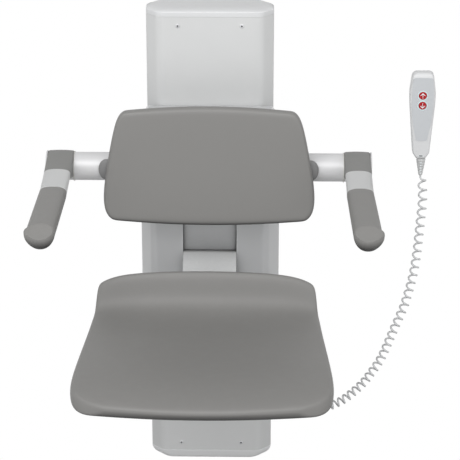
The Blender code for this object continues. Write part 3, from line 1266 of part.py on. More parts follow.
def main():
    """Make the materials and the bodies, and then each sub-part on its body."""
    white_paint = finish("white_paint", (0.66, 0.66, 0.665), 0.45)
    white = finish("white_plastic", (0.62, 0.62, 0.625), 0.45)
    housing_grey = finish("housing_plastic", (0.48, 0.48, 0.485), 0.5)
    panel_grey = finish("centre_panel_plastic", (0.33, 0.33, 0.33), 0.55)
    foam = finish("grey_foam", (0.20, 0.20, 0.195), 0.75)
    hub_grey = finish("hub_paint", (0.24, 0.24, 0.235), 0.55)
    dark = finish("dark_plastic", (0.06, 0.06, 0.065), 0.6)
    satin = finish("satin_aluminium", (0.70, 0.70, 0.71), 0.30, 1.0)
    light = finish("light_grey_plastic", (0.50, 0.50, 0.50), 0.45)
    bracket_paint = finish("bracket_paint", (0.55, 0.55, 0.55), 0.5)
    steel = finish("zinc_steel", (0.55, 0.56, 0.57), 0.35, 1.0)
    bearing = finish("bearing_plastic", (0.75, 0.75, 0.73), 0.5)
    film = finish("keypad_film", (0.57, 0.60, 0.62), 0.4)
    red = finish("red_button", (0.50, 0.01, 0.02), 0.4)
    cord_grey = finish("cord_grey", (0.52, 0.52, 0.52), 0.5)

    column = body_empty("column_body", (0.0, 0.0, 0.0))
    make_wall_rail(column, steel)
    make_guides(column, steel)
    make_column_cover(column, white_paint)
    make_caps(column, white)
    make_end_bracket("top_bracket", BRACKET_PLATE_TOP, -1.0, column, steel)
    make_end_bracket("bottom_bracket", BRACKET_PLATE_BOTTOM, 1.0, column, steel)
    make_cover_screws(column, steel)
    make_actuator(column, dark, steel)
    make_gland(column, light)
    make_handset(column, white, film, dark)
    make_holder(column, white)
    make_strain_relief(column, light)
    make_cord(column, cord_grey)
    for name, height in zip(("up_button", "down_button"), BUTTON_HEIGHTS):
        button = body_empty(name + "_body", (HANDSET_X, -PANEL_FRONT, height))
        make_button(name, height, button, red)

    carriage = body_empty("carriage_body", (0.0, -CARRIAGE_REAR, 0.0))
    make_shoes(carriage, bearing)
    make_carriage_plates(carriage, steel)
    make_rod(carriage, steel, satin)
    make_skirts(carriage, housing_grey)
    make_housing(carriage, housing_grey, panel_grey)
    make_crossbar(carriage, satin, dark)
    make_backrest(carriage, dark, foam)
    make_seat_bracket(carriage, bracket_paint, steel)

    seat = body_empty("seat_body", (0.0, -HINGE_DEPTH, HINGE_HEIGHT))
    make_seat(seat, foam, steel)
    for side, sign in SIDES:
        armrest = body_empty("armrest_%s_body" % side, (sign * ARM_X, -CROSSBAR_DEPTH, 0.0))
        make_armrest(side, sign, armrest, hub_grey, light, foam, bearing)


main()
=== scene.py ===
"""Wall mounted, height adjustable shower seat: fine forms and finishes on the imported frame."""

import json
import logging
import math
from collections.abc import Callable, Sequence
from dataclasses import dataclass
from enum import Enum

import bmesh
import bpy
import numpy as np
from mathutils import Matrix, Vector

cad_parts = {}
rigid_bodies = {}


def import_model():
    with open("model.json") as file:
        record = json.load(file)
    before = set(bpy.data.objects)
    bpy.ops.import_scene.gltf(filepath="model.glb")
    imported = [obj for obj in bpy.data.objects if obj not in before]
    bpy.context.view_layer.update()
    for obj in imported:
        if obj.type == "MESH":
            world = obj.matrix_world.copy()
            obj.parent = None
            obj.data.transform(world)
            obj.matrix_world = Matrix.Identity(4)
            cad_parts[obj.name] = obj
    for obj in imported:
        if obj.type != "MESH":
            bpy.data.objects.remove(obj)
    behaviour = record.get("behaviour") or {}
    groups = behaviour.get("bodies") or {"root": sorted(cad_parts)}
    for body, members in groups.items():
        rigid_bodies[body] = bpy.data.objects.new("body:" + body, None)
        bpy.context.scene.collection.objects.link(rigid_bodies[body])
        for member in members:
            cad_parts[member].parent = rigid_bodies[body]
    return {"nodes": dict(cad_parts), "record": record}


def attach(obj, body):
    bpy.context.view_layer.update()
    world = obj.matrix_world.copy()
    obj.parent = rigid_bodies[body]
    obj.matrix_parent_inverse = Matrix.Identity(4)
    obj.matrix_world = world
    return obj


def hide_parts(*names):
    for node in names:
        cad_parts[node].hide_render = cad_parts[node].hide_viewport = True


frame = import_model()

log = logging.getLogger("shower_seat")

Point = tuple[float, float, float]
Pair = tuple[float, float]
Colour = tuple[float, float, float]
Ring = list[Point]

CRISP_ANGLE = 40.0
NODE_CRISP_ANGLE = 32.0
FILM_TONE: Colour = (0.78, 0.78, 0.77)
SHADE_TONE: Colour = (0.01, 0.01, 0.01)
WHITE = (1.0, 1.0, 1.0, 1.0)
SURFACE = {"Height": "Float", "Mask": "Float"}
MASK = {"Mask": "Float"}


# Colour and curve sums

def written(red: int, green: int, blue: int) -> Colour:
    """Turn a colour as a screen shows it into the linear one that shaders take.

    Args:
        red: red as shown, 0 to 255.
        green: green as shown, 0 to 255.
        blue: blue as shown, 0 to 255.

    Returns:
        The linear colour.
    """
    shown = [level / 255.0 for level in (red, green, blue)]
    linear = [level / 12.92 if level <= 0.04045 else ((level + 0.055) / 1.055) ** 2.4 for level in shown]
    return (linear[0], linear[1], linear[2])


def between(table: Sequence[Pair], place: float) -> float:
    """Read a value off a table of (place, value) rows, with straight lines between the rows.

    Args:
        table: the rows, in order of place.
        place: where to read.

    Returns:
        The value there.
    """
    return float(np.interp(place, [row[0] for row in table], [row[1] for row in table]))


def smooth_step(value: float) -> float:
    """Ease a value between 0 and 1, flat at both ends."""
    held = min(1.0, max(0.0, value))
    return held * held * (3.0 - 2.0 * held)


def soft_lower(first: float, second: float, blend: float) -> float:
    """Take the lower of two heights, rounded where they meet.

    Args:
        first: one height.
        second: the other height.
        blend: how far the rounding reaches.

    Returns:
        The lower height, or a little under it near the meeting.
    """
    gap = max(0.0, blend - abs(first - second))
    return min(first, second) - gap * gap / (4.0 * blend)


def quarter(steps: int, first: int = 0) -> list[Pair]:
    """Step round a quarter turn.

    Args:
        steps: how many steps make the quarter.
        first: the step to begin with.

    Returns:
        (cosine, sine) pairs.
    """
    angles = [math.pi / 2 * step / steps for step in range(first, steps + 1)]
    return [(math.cos(angle), math.sin(angle)) for angle in angles]


def mirrored(corners: Sequence[Point]) -> list[Point]:
    """Complete one half of an outline with its mirror image across the middle.

    Args:
        corners: (across, along, radius) rows of one half.

    Returns:
        The rows of both halves, the mirrored ones in reverse order.
    """
    return [*corners, *((-across, along, radius) for across, along, radius in reversed(corners))]


# Meshes

def kept(name: str, work: bmesh.types.BMesh) -> bpy.types.Mesh:
    """Keep a work mesh under a name, and free it.

    Args:
        name: the mesh's name.
        work: the work mesh.

    Returns:
        The mesh.
    """
    mesh = bpy.data.meshes.new(name)
    work.to_mesh(mesh)
    work.free()
    return mesh


def bridged(work: bmesh.types.BMesh, first: Sequence[bmesh.types.BMVert],
            second: Sequence[bmesh.types.BMVert]) -> None:
    """Join two closed rows of points with faces.

    Args:
        work: the work mesh.
        first: one row.
        second: the next row, with as many points.
    """
    for index in range(len(first)):
        after = (index + 1) % len(first)
        work.faces.new((first[index], first[after], second[after], second[index]))


def circle(centre: Point, radius: float, axis: str, steps: int) -> Ring:
    """Make a ring of points round an axis.

    Args:
        centre: the ring's middle.
        radius: its radius.
        axis: "x", "y" or "z".
        steps: how many points.

    Returns:
        The points, anticlockwise seen from the axis's far end.
    """
    ring = []
    for index in range(steps):
        angle = 2.0 * math.pi * index / steps
        first, second = radius * math.cos(angle), radius * math.sin(angle)
        offset = {"x": (0.0, first, second), "y": (second, 0.0, first), "z": (first, second, 0.0)}[axis]
        ring.append((centre[0] + offset[0], centre[1] + offset[1], centre[2] + offset[2]))
    return ring


def rounded(corners: Sequence[Point], steps: int = 8) -> list[Pair]:
    """Round the corners of an outline, each with its own radius.

    Args:
        corners: (across, up, radius) rows.
        steps: steps round each corner.

    Returns:
        The outline's points.
    """
    outline: list[Pair] = []
    for index, (across, up, radius) in enumerate(corners):
        here = Vector((across, up))
        if radius <= 0.0:
            outline.append((across, up))
            continue
        before = (Vector(corners[index - 1][:2]) - here).normalized()
        after = (Vector(corners[(index + 1) % len(corners)][:2]) - here).normalized()
        half = before.angle(after) / 2
        centre = here + (before + after).normalized() * radius / math.sin(half)
        first = here + before * radius / math.tan(half) - centre
        second = here + after * radius / math.tan(half) - centre
        start = math.atan2(first.y, first.x)
        sweep = (math.atan2(second.y, second.x) - start + math.pi) % (2.0 * math.pi) - math.pi
        for step in range(steps + 1):
            angle = start + sweep * step / steps
            outline.append((centre.x + radius * math.cos(angle), centre.y + radius * math.sin(angle)))
    return outline


def drawn_in(outline: Sequence[Pair], inset: float) -> list[Pair]:
    """Move a closed outline inwards.

    Args:
        outline: its points.
        inset: how far to move each side.

    Returns:
        The smaller outline, with as many points.
    """
    count = len(outline)
    area = sum(outline[index - 1][0] * outline[index][1] - outline[index][0] * outline[index - 1][1]
               for index in range(count))
    moved = []
    for index in range(count):
        here = Vector(outline[index])
        sides = (here - Vector(outline[index - 1]), Vector(outline[(index + 1) % count]) - here)
        normals = [Vector((side.y, -side.x)).normalized() * math.copysign(1.0, area) for side in sides]
        out = (normals[0] + normals[1]).normalized()
        place = here - out * inset / max(0.4, out.dot(normals[0]))
        moved.append((place.x, place.y))
    return moved


def raised(name: str, outlines: Sequence[Sequence[Pair]], depths: Pair) -> bpy.types.Mesh:
    """Raise flat outlines, seen from the front, between two depths.

    Args:
        name: the mesh's name.
        outlines: the outlines.
        depths: the two depths.

    Returns:
        The mesh.
    """
    work = bmesh.new()
    for outline in outlines:
        rows = [[work.verts.new((x, -depth, z)) for x, z in outline] for depth in depths]
        bridged(work, rows[0], rows[1])
        work.faces.new(list(reversed(rows[0])))
        work.faces.new(rows[1])
    bmesh.ops.recalc_face_normals(work, faces=work.faces)
    return kept(name, work)


def cut(mesh: bpy.types.Mesh, cutters: Sequence[bpy.types.Mesh]) -> bpy.types.Mesh:
    """Cut closed meshes out of another.

    Args:
        mesh: the mesh that is cut.
        cutters: what is cut out of it.

    Returns:
        The mesh with its cuts.
    """
    shelf = bpy.context.scene.collection.objects
    piece = bpy.data.objects.new("blank", mesh)
    shelf.link(piece)
    tools = [bpy.data.objects.new("cutter", cutter) for cutter in cutters]
    for tool in tools:
        shelf.link(tool)
        step = piece.modifiers.new("cut", "BOOLEAN")
        step.operation = "DIFFERENCE"
        step.solver = "EXACT"
        step.object = tool
    made = bpy.data.meshes.new_from_object(piece.evaluated_get(bpy.context.evaluated_depsgraph_get()))
    for item in (piece, *tools):
        bpy.data.objects.remove(item)
    made.shade_smooth()
    made.set_sharp_from_angle(angle=math.radians(CRISP_ANGLE))
    return made


def lofted(name: str, rings: Sequence[Ring], looped: bool = False,
           sharp: float = CRISP_ANGLE) -> bpy.types.Mesh:
    """Skin a row of rings that have one number of points.

    Args:
        name: the mesh's name.
        rings: the rings, in order.
        looped: True if the last ring joins the first, False if the two ends are closed by faces.
        sharp: the angle in degrees above which an edge stays crisp.

    Returns:
        The closed mesh, with smooth shading between its crisp edges.
    """
    work = bmesh.new()
    rows = [[work.verts.new(place) for place in ring] for ring in rings]
    pairs = list(zip(rows, rows[1:]))
    if looped:
        pairs.append((rows[-1], rows[0]))
    for first, second in pairs:
        bridged(work, first, second)
    if not looped:
        work.faces.new(list(reversed(rows[0])))
        work.faces.new(rows[-1])
    bmesh.ops.recalc_face_normals(work, faces=work.faces)
    mesh = kept(name, work)
    mesh.shade_smooth()
    mesh.set_sharp_from_angle(angle=math.radians(sharp))
    return mesh


def turned(name: str, profile: Sequence[Pair], centre: Point, axis: str, steps: int = 64,
           looped: bool = False) -> bpy.types.Mesh:
    """Turn a profile about an axis.

    Args:
        name: the mesh's name.
        profile: (radius, place along the axis) rows.
        centre: the point that the places are counted from.
        axis: "x", "y" or "z".
        steps: points round the axis.
        looped: True for a profile that closes on itself, as a tube's does.

    Returns:
        The turned mesh.
    """
    rings = []
    for radius, along in profile:
        middle = list(centre)
        middle["xyz".index(axis)] += along
        rings.append(circle((middle[0], middle[1], middle[2]), max(radius, 0.00002), axis, steps))
    return lofted(name, rings, looped)


def caged(name: str, counts: tuple[int, int, int], place: Callable[[int, int, int], Point]) -> bpy.types.Mesh:
    """Make the cage of a soft form: a box's grid of faces, whose points go where place() puts them.

    Args:
        name: the mesh's name.
        counts: faces along x, y and z.
        place: gives the point for the steps along x, y and z.

    Returns:
        The cage, for a Subdivision Surface.
    """
    work = bmesh.new()
    bmesh.ops.create_cube(work, size=2.0)
    for axis, count in enumerate(counts):
        along = []
        for edge in work.edges:
            step = edge.verts[1].co - edge.verts[0].co
            if abs(step[axis]) > 0.5 * step.length:
                along.append(edge)
        if count > 1:
            bmesh.ops.subdivide_edges(work, edges=along, cuts=count - 1, use_grid_fill=True)
    for point in work.verts:
        steps = [round((point.co[axis] + 1.0) / 2.0 * counts[axis]) for axis in range(3)]
        point.co = place(steps[0], steps[1], steps[2])
    mesh = kept(name, work)
    mesh.shade_smooth()
    return mesh


# Shader wiring

class Wiring:
    """Adds nodes to one tree and joins them."""

    def __init__(self, tree: bpy.types.NodeTree) -> None:
        """Start on a tree.

        Args:
            tree: the node tree, which is emptied.
        """
        self.tree = tree
        tree.nodes.clear()

    def add(self, kind: str, **settings: object) -> bpy.types.Node:
        """Add a node.

        Args:
            kind: the node's type name.
            settings: properties to set on it.

        Returns:
            The node.
        """
        node = self.tree.nodes.new(kind)
        for key, value in settings.items():
            setattr(node, key, value)
        return node

    def feed(self, socket: bpy.types.NodeSocket, source: object) -> None:
        """Give a socket a link if the source is a socket, and a plain value otherwise.

        Args:
            socket: the input.
            source: a socket, number or tuple.
        """
        if isinstance(source, bpy.types.NodeSocket):
            self.tree.links.new(source, socket)
        else:
            socket.default_value = source

    def maths(self, operation: str, *sources: object) -> bpy.types.NodeSocket:
        """Add a Math node.

        Args:
            operation: its operation.
            sources: sockets or numbers for its inputs.

        Returns:
            Its output.
        """
        node = self.add("ShaderNodeMath", operation=operation)
        for socket, source in zip(node.inputs, sources):
            self.feed(socket, source)
        return node.outputs[0]

    def vector(self, operation: str, first: object, second: object) -> bpy.types.NodeSocket:
        """Add a Vector Math node.

        Args:
            operation: its operation.
            first: a socket or vector.
            second: a socket or vector.

        Returns:
            Its output: the number for a dot product, and otherwise the vector.
        """
        node = self.add("ShaderNodeVectorMath", operation=operation)
        self.feed(node.inputs[0], first)
        self.feed(node.inputs[1], second)
        return node.outputs["Value" if operation == "DOT_PRODUCT" else "Vector"]

    def scaled(self, source: object, factor: object) -> bpy.types.NodeSocket:
        """Scale a vector by a number.

        Args:
            source: a socket or vector.
            factor: a socket or number.

        Returns:
            The scaled vector.
        """
        node = self.add("ShaderNodeVectorMath", operation="SCALE")
        self.feed(node.inputs[0], source)
        self.feed(node.inputs["Scale"], factor)
        return node.outputs["Vector"]

    def noise(self, place: object, scale: object, detail: float = 2.0,
              roughness: float = 0.5) -> bpy.types.NodeSocket:
        """Add a Noise Texture.

        Args:
            place: the coordinates.
            scale: the noise's scale.
            detail: octaves.
            roughness: how strong the fine octaves are.

        Returns:
            The noise, 0 to 1.
        """
        node = self.add("ShaderNodeTexNoise")
        self.feed(node.inputs["Vector"], place)
        self.feed(node.inputs["Scale"], scale)
        node.inputs["Detail"].default_value = detail
        node.inputs["Roughness"].default_value = roughness
        return node.outputs["Fac"]

    def remap(self, value: object, low: float, high: float, to_low: object,
              to_high: object) -> bpy.types.NodeSocket:
        """Map a range to another, held at both ends.

        Args:
            value: the value.
            low: the start of its range.
            high: the end of its range.
            to_low: the result at the start.
            to_high: the result at the end.

        Returns:
            The mapped value.
        """
        node = self.add("ShaderNodeMapRange", clamp=True)
        for name, source in (("Value", value), ("From Min", low), ("From Max", high),
                             ("To Min", to_low), ("To Max", to_high)):
            self.feed(node.inputs[name], source)
        return node.outputs["Result"]

    def mixed(self, mask: object, first: object, second: object) -> bpy.types.NodeSocket:
        """Mix two colours.

        Args:
            mask: 0 for the first colour, 1 for the second.
            first: a socket or colour.
            second: a socket or colour.

        Returns:
            The mixed colour.
        """
        node = self.add("ShaderNodeMix", data_type="RGBA")
        self.feed(node.inputs[0], mask)
        for socket, source in ((node.inputs[6], first), (node.inputs[7], second)):
            self.feed(socket, (*source, 1.0) if isinstance(source, tuple) else source)
        return node.outputs[2]


class Effect:
    """A shared effect: a shader node group with named inputs and outputs, built once."""

    def __init__(self, name: str, inputs: dict[str, tuple[str, object]], outputs: dict[str, str]) -> None:
        """Make the group's sockets.

        Args:
            name: the group's name.
            inputs: socket name to (kind, value), the kind being Float, Color or Vector.
            outputs: socket name to kind.
        """
        self.tree = bpy.data.node_groups.new(name, "ShaderNodeTree")
        self.wiring = Wiring(self.tree)
        for label, (kind, value) in inputs.items():
            socket = self.tree.interface.new_socket(name=label, in_out="INPUT", socket_type="NodeSocket" + kind)
            if value is not None:
                socket.default_value = value
        for label, kind in outputs.items():
            self.tree.interface.new_socket(name=label, in_out="OUTPUT", socket_type="NodeSocket" + kind)
        self.start = self.wiring.add("NodeGroupInput").outputs
        self.stop = self.wiring.add("NodeGroupOutput").inputs

    def scale(self) -> bpy.types.NodeSocket:
        """Turn the effect's Size into a texture's scale."""
        return self.wiring.maths("DIVIDE", 1.0, self.start["Size"])

    def give(self, **sources: object) -> "Effect":
        """Feed the group's outputs, which completes the effect.

        Args:
            sources: sockets, by output name.

        Returns:
            The effect.
        """
        for label, source in sources.items():
            self.wiring.feed(self.stop[label], source)
        return self

    def place(self, wiring: Wiring, **sources: object) -> bpy.types.NodeOutputs:
        """Put the group in a material.

        Args:
            wiring: the material's wiring.
            sources: sockets or values, by input name with _ for a space.

        Returns:
            The placed group's outputs.
        """
        node = wiring.add("ShaderNodeGroup", node_tree=self.tree)
        for label, source in sources.items():
            wiring.feed(node.inputs[label.replace("_", " ")], source)
        return node.outputs


class Effects:
    """All shared effects."""

    def __init__(self) -> None:
        """Build every effect once."""
        self.moulded_grain = self.build_moulded_grain()
        self.foam_skin = self.build_foam_skin()
        self.orange_peel = self.build_orange_peel()
        self.brushed_lines = self.build_brushed_lines()
        self.tone_drift = self.build_tone_drift()
        self.edge_wear_and_highlight = self.build_edge_wear_and_highlight()
        self.dried_film = self.build_dried_film()
        self.hollow_shade = self.build_hollow_shade()
        self.lee_shade = self.build_lee_shade()

    def build_moulded_grain(self) -> Effect:
        """Fine spark-eroded grain of moulded plastic.

        Returns:
            The effect, whose Height and Mask run from 0 to 1.
        """
        effect = Effect("moulded_grain", {"Vector": ("Vector", None), "Size": ("Float", 0.0008)}, SURFACE)
        wire = effect.wiring
        scale = effect.scale()
        cells = wire.add("ShaderNodeTexVoronoi", feature="SMOOTH_F1")
        wire.feed(cells.inputs["Vector"], effect.start["Vector"])
        wire.feed(cells.inputs["Scale"], scale)
        fine = wire.noise(effect.start["Vector"], wire.maths("MULTIPLY", scale, 1.7), 3.0, 0.6)
        height = wire.maths("ADD", wire.maths("MULTIPLY", cells.outputs["Distance"], 0.6),
                            wire.maths("MULTIPLY", fine, 0.5))
        return effect.give(Height=height, Mask=fine)

    def build_foam_skin(self) -> Effect:
        """Soft leather-like skin of moulded polyurethane foam.

        Returns:
            The effect, whose Height and Mask run from 0 to 1.
        """
        effect = Effect("foam_skin", {"Vector": ("Vector", None), "Size": ("Float", 0.0015)}, SURFACE)
        wire = effect.wiring
        scale = effect.scale()
        bend = wire.noise(effect.start["Vector"], wire.maths("MULTIPLY", scale, 0.35), 2.0)
        bent = wire.vector("ADD", effect.start["Vector"], wire.scaled(
            wire.vector("MULTIPLY", (1.0, 1.0, 1.0), bend), wire.maths("MULTIPLY", effect.start["Size"], 1.5)))
        cells = wire.add("ShaderNodeTexVoronoi", feature="DISTANCE_TO_EDGE")
        wire.feed(cells.inputs["Vector"], bent)
        wire.feed(cells.inputs["Scale"], scale)
        pebble = wire.remap(cells.outputs["Distance"], 0.0, 0.35, 0.0, 1.0)
        fine = wire.noise(effect.start["Vector"], wire.maths("MULTIPLY", scale, 4.0), 2.0)
        height = wire.maths("ADD", wire.maths("MULTIPLY", pebble, 0.75), wire.maths("MULTIPLY", fine, 0.25))
        return effect.give(Height=height, Mask=pebble)

    def build_orange_peel(self) -> Effect:
        """Low waves of baked powder paint, with a finer speckle on them.

        Returns:
            The effect, whose Height and Mask run from 0 to 1.
        """
        effect = Effect("orange_peel", {"Vector": ("Vector", None), "Size": ("Float", 0.0025)}, SURFACE)
        wire = effect.wiring
        scale = effect.scale()
        waves = wire.noise(effect.start["Vector"], scale, 1.0, 0.4)
        speckle = wire.noise(effect.start["Vector"], wire.maths("MULTIPLY", scale, 5.0), 1.0, 0.5)
        height = wire.maths("ADD", wire.maths("MULTIPLY", waves, 0.85), wire.maths("MULTIPLY", speckle, 0.15))
        return effect.give(Height=height, Mask=speckle)

    def build_brushed_lines(self) -> Effect:
        """Fine lines left by a brushing belt or a lathe, long across the given squeeze.

        Returns:
            The effect, whose Height and Mask run from 0 to 1.
        """
        effect = Effect("brushed_lines", {"Vector": ("Vector", None), "Squeeze": ("Vector", (1.0, 0.02, 0.02)),
                                          "Size": ("Float", 0.0006)}, SURFACE)
        wire = effect.wiring
        squeezed = wire.vector("MULTIPLY", effect.start["Vector"], effect.start["Squeeze"])
        scale = effect.scale()
        lines = wire.noise(squeezed, scale, 4.0, 0.65)
        broad = wire.noise(squeezed, wire.maths("MULTIPLY", scale, 0.12), 2.0, 0.5)
        mask = wire.maths("ADD", wire.maths("MULTIPLY", lines, 0.6), wire.maths("MULTIPLY", broad, 0.4))
        return effect.give(Height=lines, Mask=mask)

    def build_tone_drift(self) -> Effect:
        """Slight change of tone over a surface.

        Returns:
            The effect, whose output is the changed Color.
        """
        effect = Effect("tone_drift", {"Vector": ("Vector", None), "Color": ("Color", None),
                                       "Amount": ("Float", 0.03), "Size": ("Float", 0.08)}, {"Color": "Color"})
        wire = effect.wiring
        scale = effect.scale()
        drift = wire.noise(effect.start["Vector"], scale, 3.0, 0.55)
        tint = wire.add("ShaderNodeHueSaturation")
        gain = wire.maths("ADD", 1.0, wire.maths("MULTIPLY", wire.maths("SUBTRACT", drift, 0.5),
                                                 effect.start["Amount"]))
        wire.feed(tint.inputs["Value"], gain)
        wire.feed(tint.inputs["Color"], effect.start["Color"])
        return effect.give(Color=tint.outputs["Color"])

    def build_edge_wear_and_highlight(self) -> Effect:
        """Rubbed edges, and edges painted light as a highlight, where a rounded normal leaves the true one.

        Returns:
            The effect, whose Mask is 1 on a rubbed or highlighted edge.
        """
        effect = Effect("edge_wear_and_highlight", {"Vector": ("Vector", None), "Width": ("Float", 0.0012),
                                      "Patch": ("Float", 0.012), "Amount": ("Float", 0.5)}, MASK)
        wire = effect.wiring
        rounded = wire.add("ShaderNodeBevel", samples=3)
        wire.feed(rounded.inputs["Radius"], effect.start["Width"])
        true = wire.add("ShaderNodeNewGeometry")
        turn = wire.maths("SUBTRACT", 1.0, wire.vector("DOT_PRODUCT", rounded.outputs["Normal"],
                                                       true.outputs["Normal"]))
        edge = wire.remap(turn, 0.01, 0.18, 0.0, 1.0)
        patches = wire.remap(wire.noise(effect.start["Vector"], wire.maths("DIVIDE", 1.0, effect.start["Patch"]),
                                        4.0, 0.6), 0.42, 0.62, 0.15, 1.0)
        rubbed_or_lit = wire.maths("MULTIPLY", edge, patches)
        return effect.give(Mask=wire.maths("MULTIPLY", rubbed_or_lit, effect.start["Amount"]))

    def build_hollow_shade(self) -> Effect:
        """Shade in hollows, where the surroundings are near.

        Returns:
            The effect, whose Mask is 1 deep in a hollow.
        """
        effect = Effect("hollow_shade", {"Reach": ("Float", 0.03), "Amount": ("Float", 0.0)}, MASK)
        wire = effect.wiring
        open_share = wire.add("ShaderNodeAmbientOcclusion", samples=8)
        wire.feed(open_share.inputs["Distance"], effect.start["Reach"])
        shut = wire.remap(open_share.outputs["AO"], 0.45, 0.98, 1.0, 0.0)
        return effect.give(Mask=wire.maths("MULTIPLY", shut, effect.start["Amount"]))

    def build_lee_shade(self) -> Effect:
        """Shade on faces that look down, which the even sky leaves too light.

        Returns:
            The effect, whose Mask is 1 on faces that look well down.
        """
        effect = Effect("lee_shade", {"Amount": ("Float", 0.0)}, MASK)
        wire = effect.wiring
        true = wire.add("ShaderNodeNewGeometry")
        down = wire.vector("DOT_PRODUCT", true.outputs["Normal"], (0.0, 0.0, -1.0))
        under = wire.remap(down, 0.02, 0.55, 0.0, 1.0)
        return effect.give(Mask=wire.maths("MULTIPLY", under, effect.start["Amount"]))

    def build_dried_film(self) -> Effect:
        """Thin film of dried water on faces that look up, in drops and tide marks.

        Returns:
            The effect, whose Mask is 1 where the film is thickest.
        """
        effect = Effect("dried_film", {"Vector": ("Vector", None), "Size": ("Float", 0.02),
                                       "Amount": ("Float", 0.1)}, MASK)
        wire = effect.wiring
        scale = effect.scale()
        true = wire.add("ShaderNodeNewGeometry")
        up = wire.remap(wire.vector("DOT_PRODUCT", true.outputs["Normal"], (0.0, 0.0, 1.0)), 0.1, 0.9, 0.15, 1.0)
        marks = wire.remap(wire.noise(effect.start["Vector"], scale, 5.0, 0.6), 0.45, 0.75, 0.0, 1.0)
        dried = wire.maths("MULTIPLY", up, marks)
        return effect.give(Mask=wire.maths("MULTIPLY", dried, effect.start["Amount"]))


# Finishes

class Texture(Enum):
    """How a finish's surface is broken up."""

    MOULDED = "moulded"
    FOAM_SKIN = "foam skin"
    POWDER = "powder paint"
    BRUSHED = "brushed metal"


@dataclass(frozen=True)
class Finish:
    """One surface finish, as its maker would order it, with any painted shade and highlight added."""

    name: str
    colour: Colour
    roughness: float
    texture: Texture = Texture.MOULDED
    metallic: float = 0.0
    grain: float = 0.0008
    relief: float = 0.00003
    gloss_spread: float = 0.10
    drift: float = 0.05
    wear: float = 0.25
    wear_and_highlight_colour: Colour = (0.80, 0.80, 0.80)
    film: float = 0.10
    coat: float = 0.0
    sheen: float = 0.0
    shade: float = 0.0
    shade_reach: float = 0.030
    lee: float = 0.0
    wear_and_highlight_width: float = 0.0012
    squeeze: Point = (1.0, 0.02, 0.02)
    coat_roughness: float = 0.25

    def texture_of(self, effects: Effects, wiring: Wiring, place: bpy.types.NodeSocket) -> bpy.types.NodeOutputs:
        """Place the group that breaks up this finish's surface.

        Args:
            effects: the shared effects.
            wiring: the material's wiring.
            place: the coordinates.

        Returns:
            The group's outputs, Height and Mask.
        """
        if self.texture is Texture.BRUSHED:
            return effects.brushed_lines.place(wiring, Vector=place, Squeeze=self.squeeze, Size=self.grain)
        effect = {Texture.MOULDED: effects.moulded_grain, Texture.FOAM_SKIN: effects.foam_skin,
                  Texture.POWDER: effects.orange_peel}[self.texture]
        return effect.place(wiring, Vector=place, Size=self.grain)

    def material(self, effects: Effects) -> bpy.types.Material:
        """Build the finish's material.

        Args:
            effects: the shared effects.

        Returns:
            The material.
        """
        made = bpy.data.materials.new(self.name)
        made.use_nodes = True
        wiring = Wiring(made.node_tree)
        place = wiring.add("ShaderNodeTexCoord").outputs["Object"]
        texture = self.texture_of(effects, wiring, place)
        tone = effects.tone_drift.place(wiring, Vector=place, Color=(*self.colour, 1.0), Amount=self.drift)
        # Edge mask: rubbed wear, and on the housing a painted highlight along its rounded edges.
        rubbed_or_lit = effects.edge_wear_and_highlight.place(wiring, Vector=place, Amount=self.wear, Width=self.wear_and_highlight_width)["Mask"]
        film = effects.dried_film.place(wiring, Vector=place, Amount=self.film)["Mask"]
        colour = wiring.mixed(rubbed_or_lit, tone["Color"], self.wear_and_highlight_colour)
        colour = wiring.mixed(film, colour, FILM_TONE)
        # Painted shade in hollows, mixed into the base colour.
        if self.shade > 0.0:
            dim = effects.hollow_shade.place(wiring, Reach=self.shade_reach, Amount=self.shade)["Mask"]
            colour = wiring.mixed(dim, colour, SHADE_TONE)
        # Painted shade on faces that look down, mixed into the base colour.
        if self.lee > 0.0:
            dim = effects.lee_shade.place(wiring, Amount=self.lee)["Mask"]
            colour = wiring.mixed(dim, colour, SHADE_TONE)
        rough = wiring.remap(texture["Mask"], 0.2, 0.8, self.roughness - self.gloss_spread / 2,
                             self.roughness + self.gloss_spread / 2)
        rough = wiring.maths("ADD", rough, wiring.maths("MULTIPLY", film, 0.5))
        bump = wiring.add("ShaderNodeBump")
        bump.inputs["Strength"].default_value = 1.0
        bump.inputs["Distance"].default_value = self.relief
        wiring.feed(bump.inputs["Height"], texture["Height"])
        shader = wiring.add("ShaderNodeBsdfPrincipled")
        wiring.feed(shader.inputs["Base Color"], colour)
        wiring.feed(shader.inputs["Roughness"], rough)
        wiring.feed(shader.inputs["Normal"], bump.outputs["Normal"])
        shader.inputs["Metallic"].default_value = self.metallic
        shader.inputs["Coat Weight"].default_value = self.coat
        shader.inputs["Coat Roughness"].default_value = self.coat_roughness
        shader.inputs["Sheen Weight"].default_value = self.sheen
        output = wiring.add("ShaderNodeOutputMaterial")
        wiring.feed(output.inputs["Surface"], shader.outputs["BSDF"])
        return made


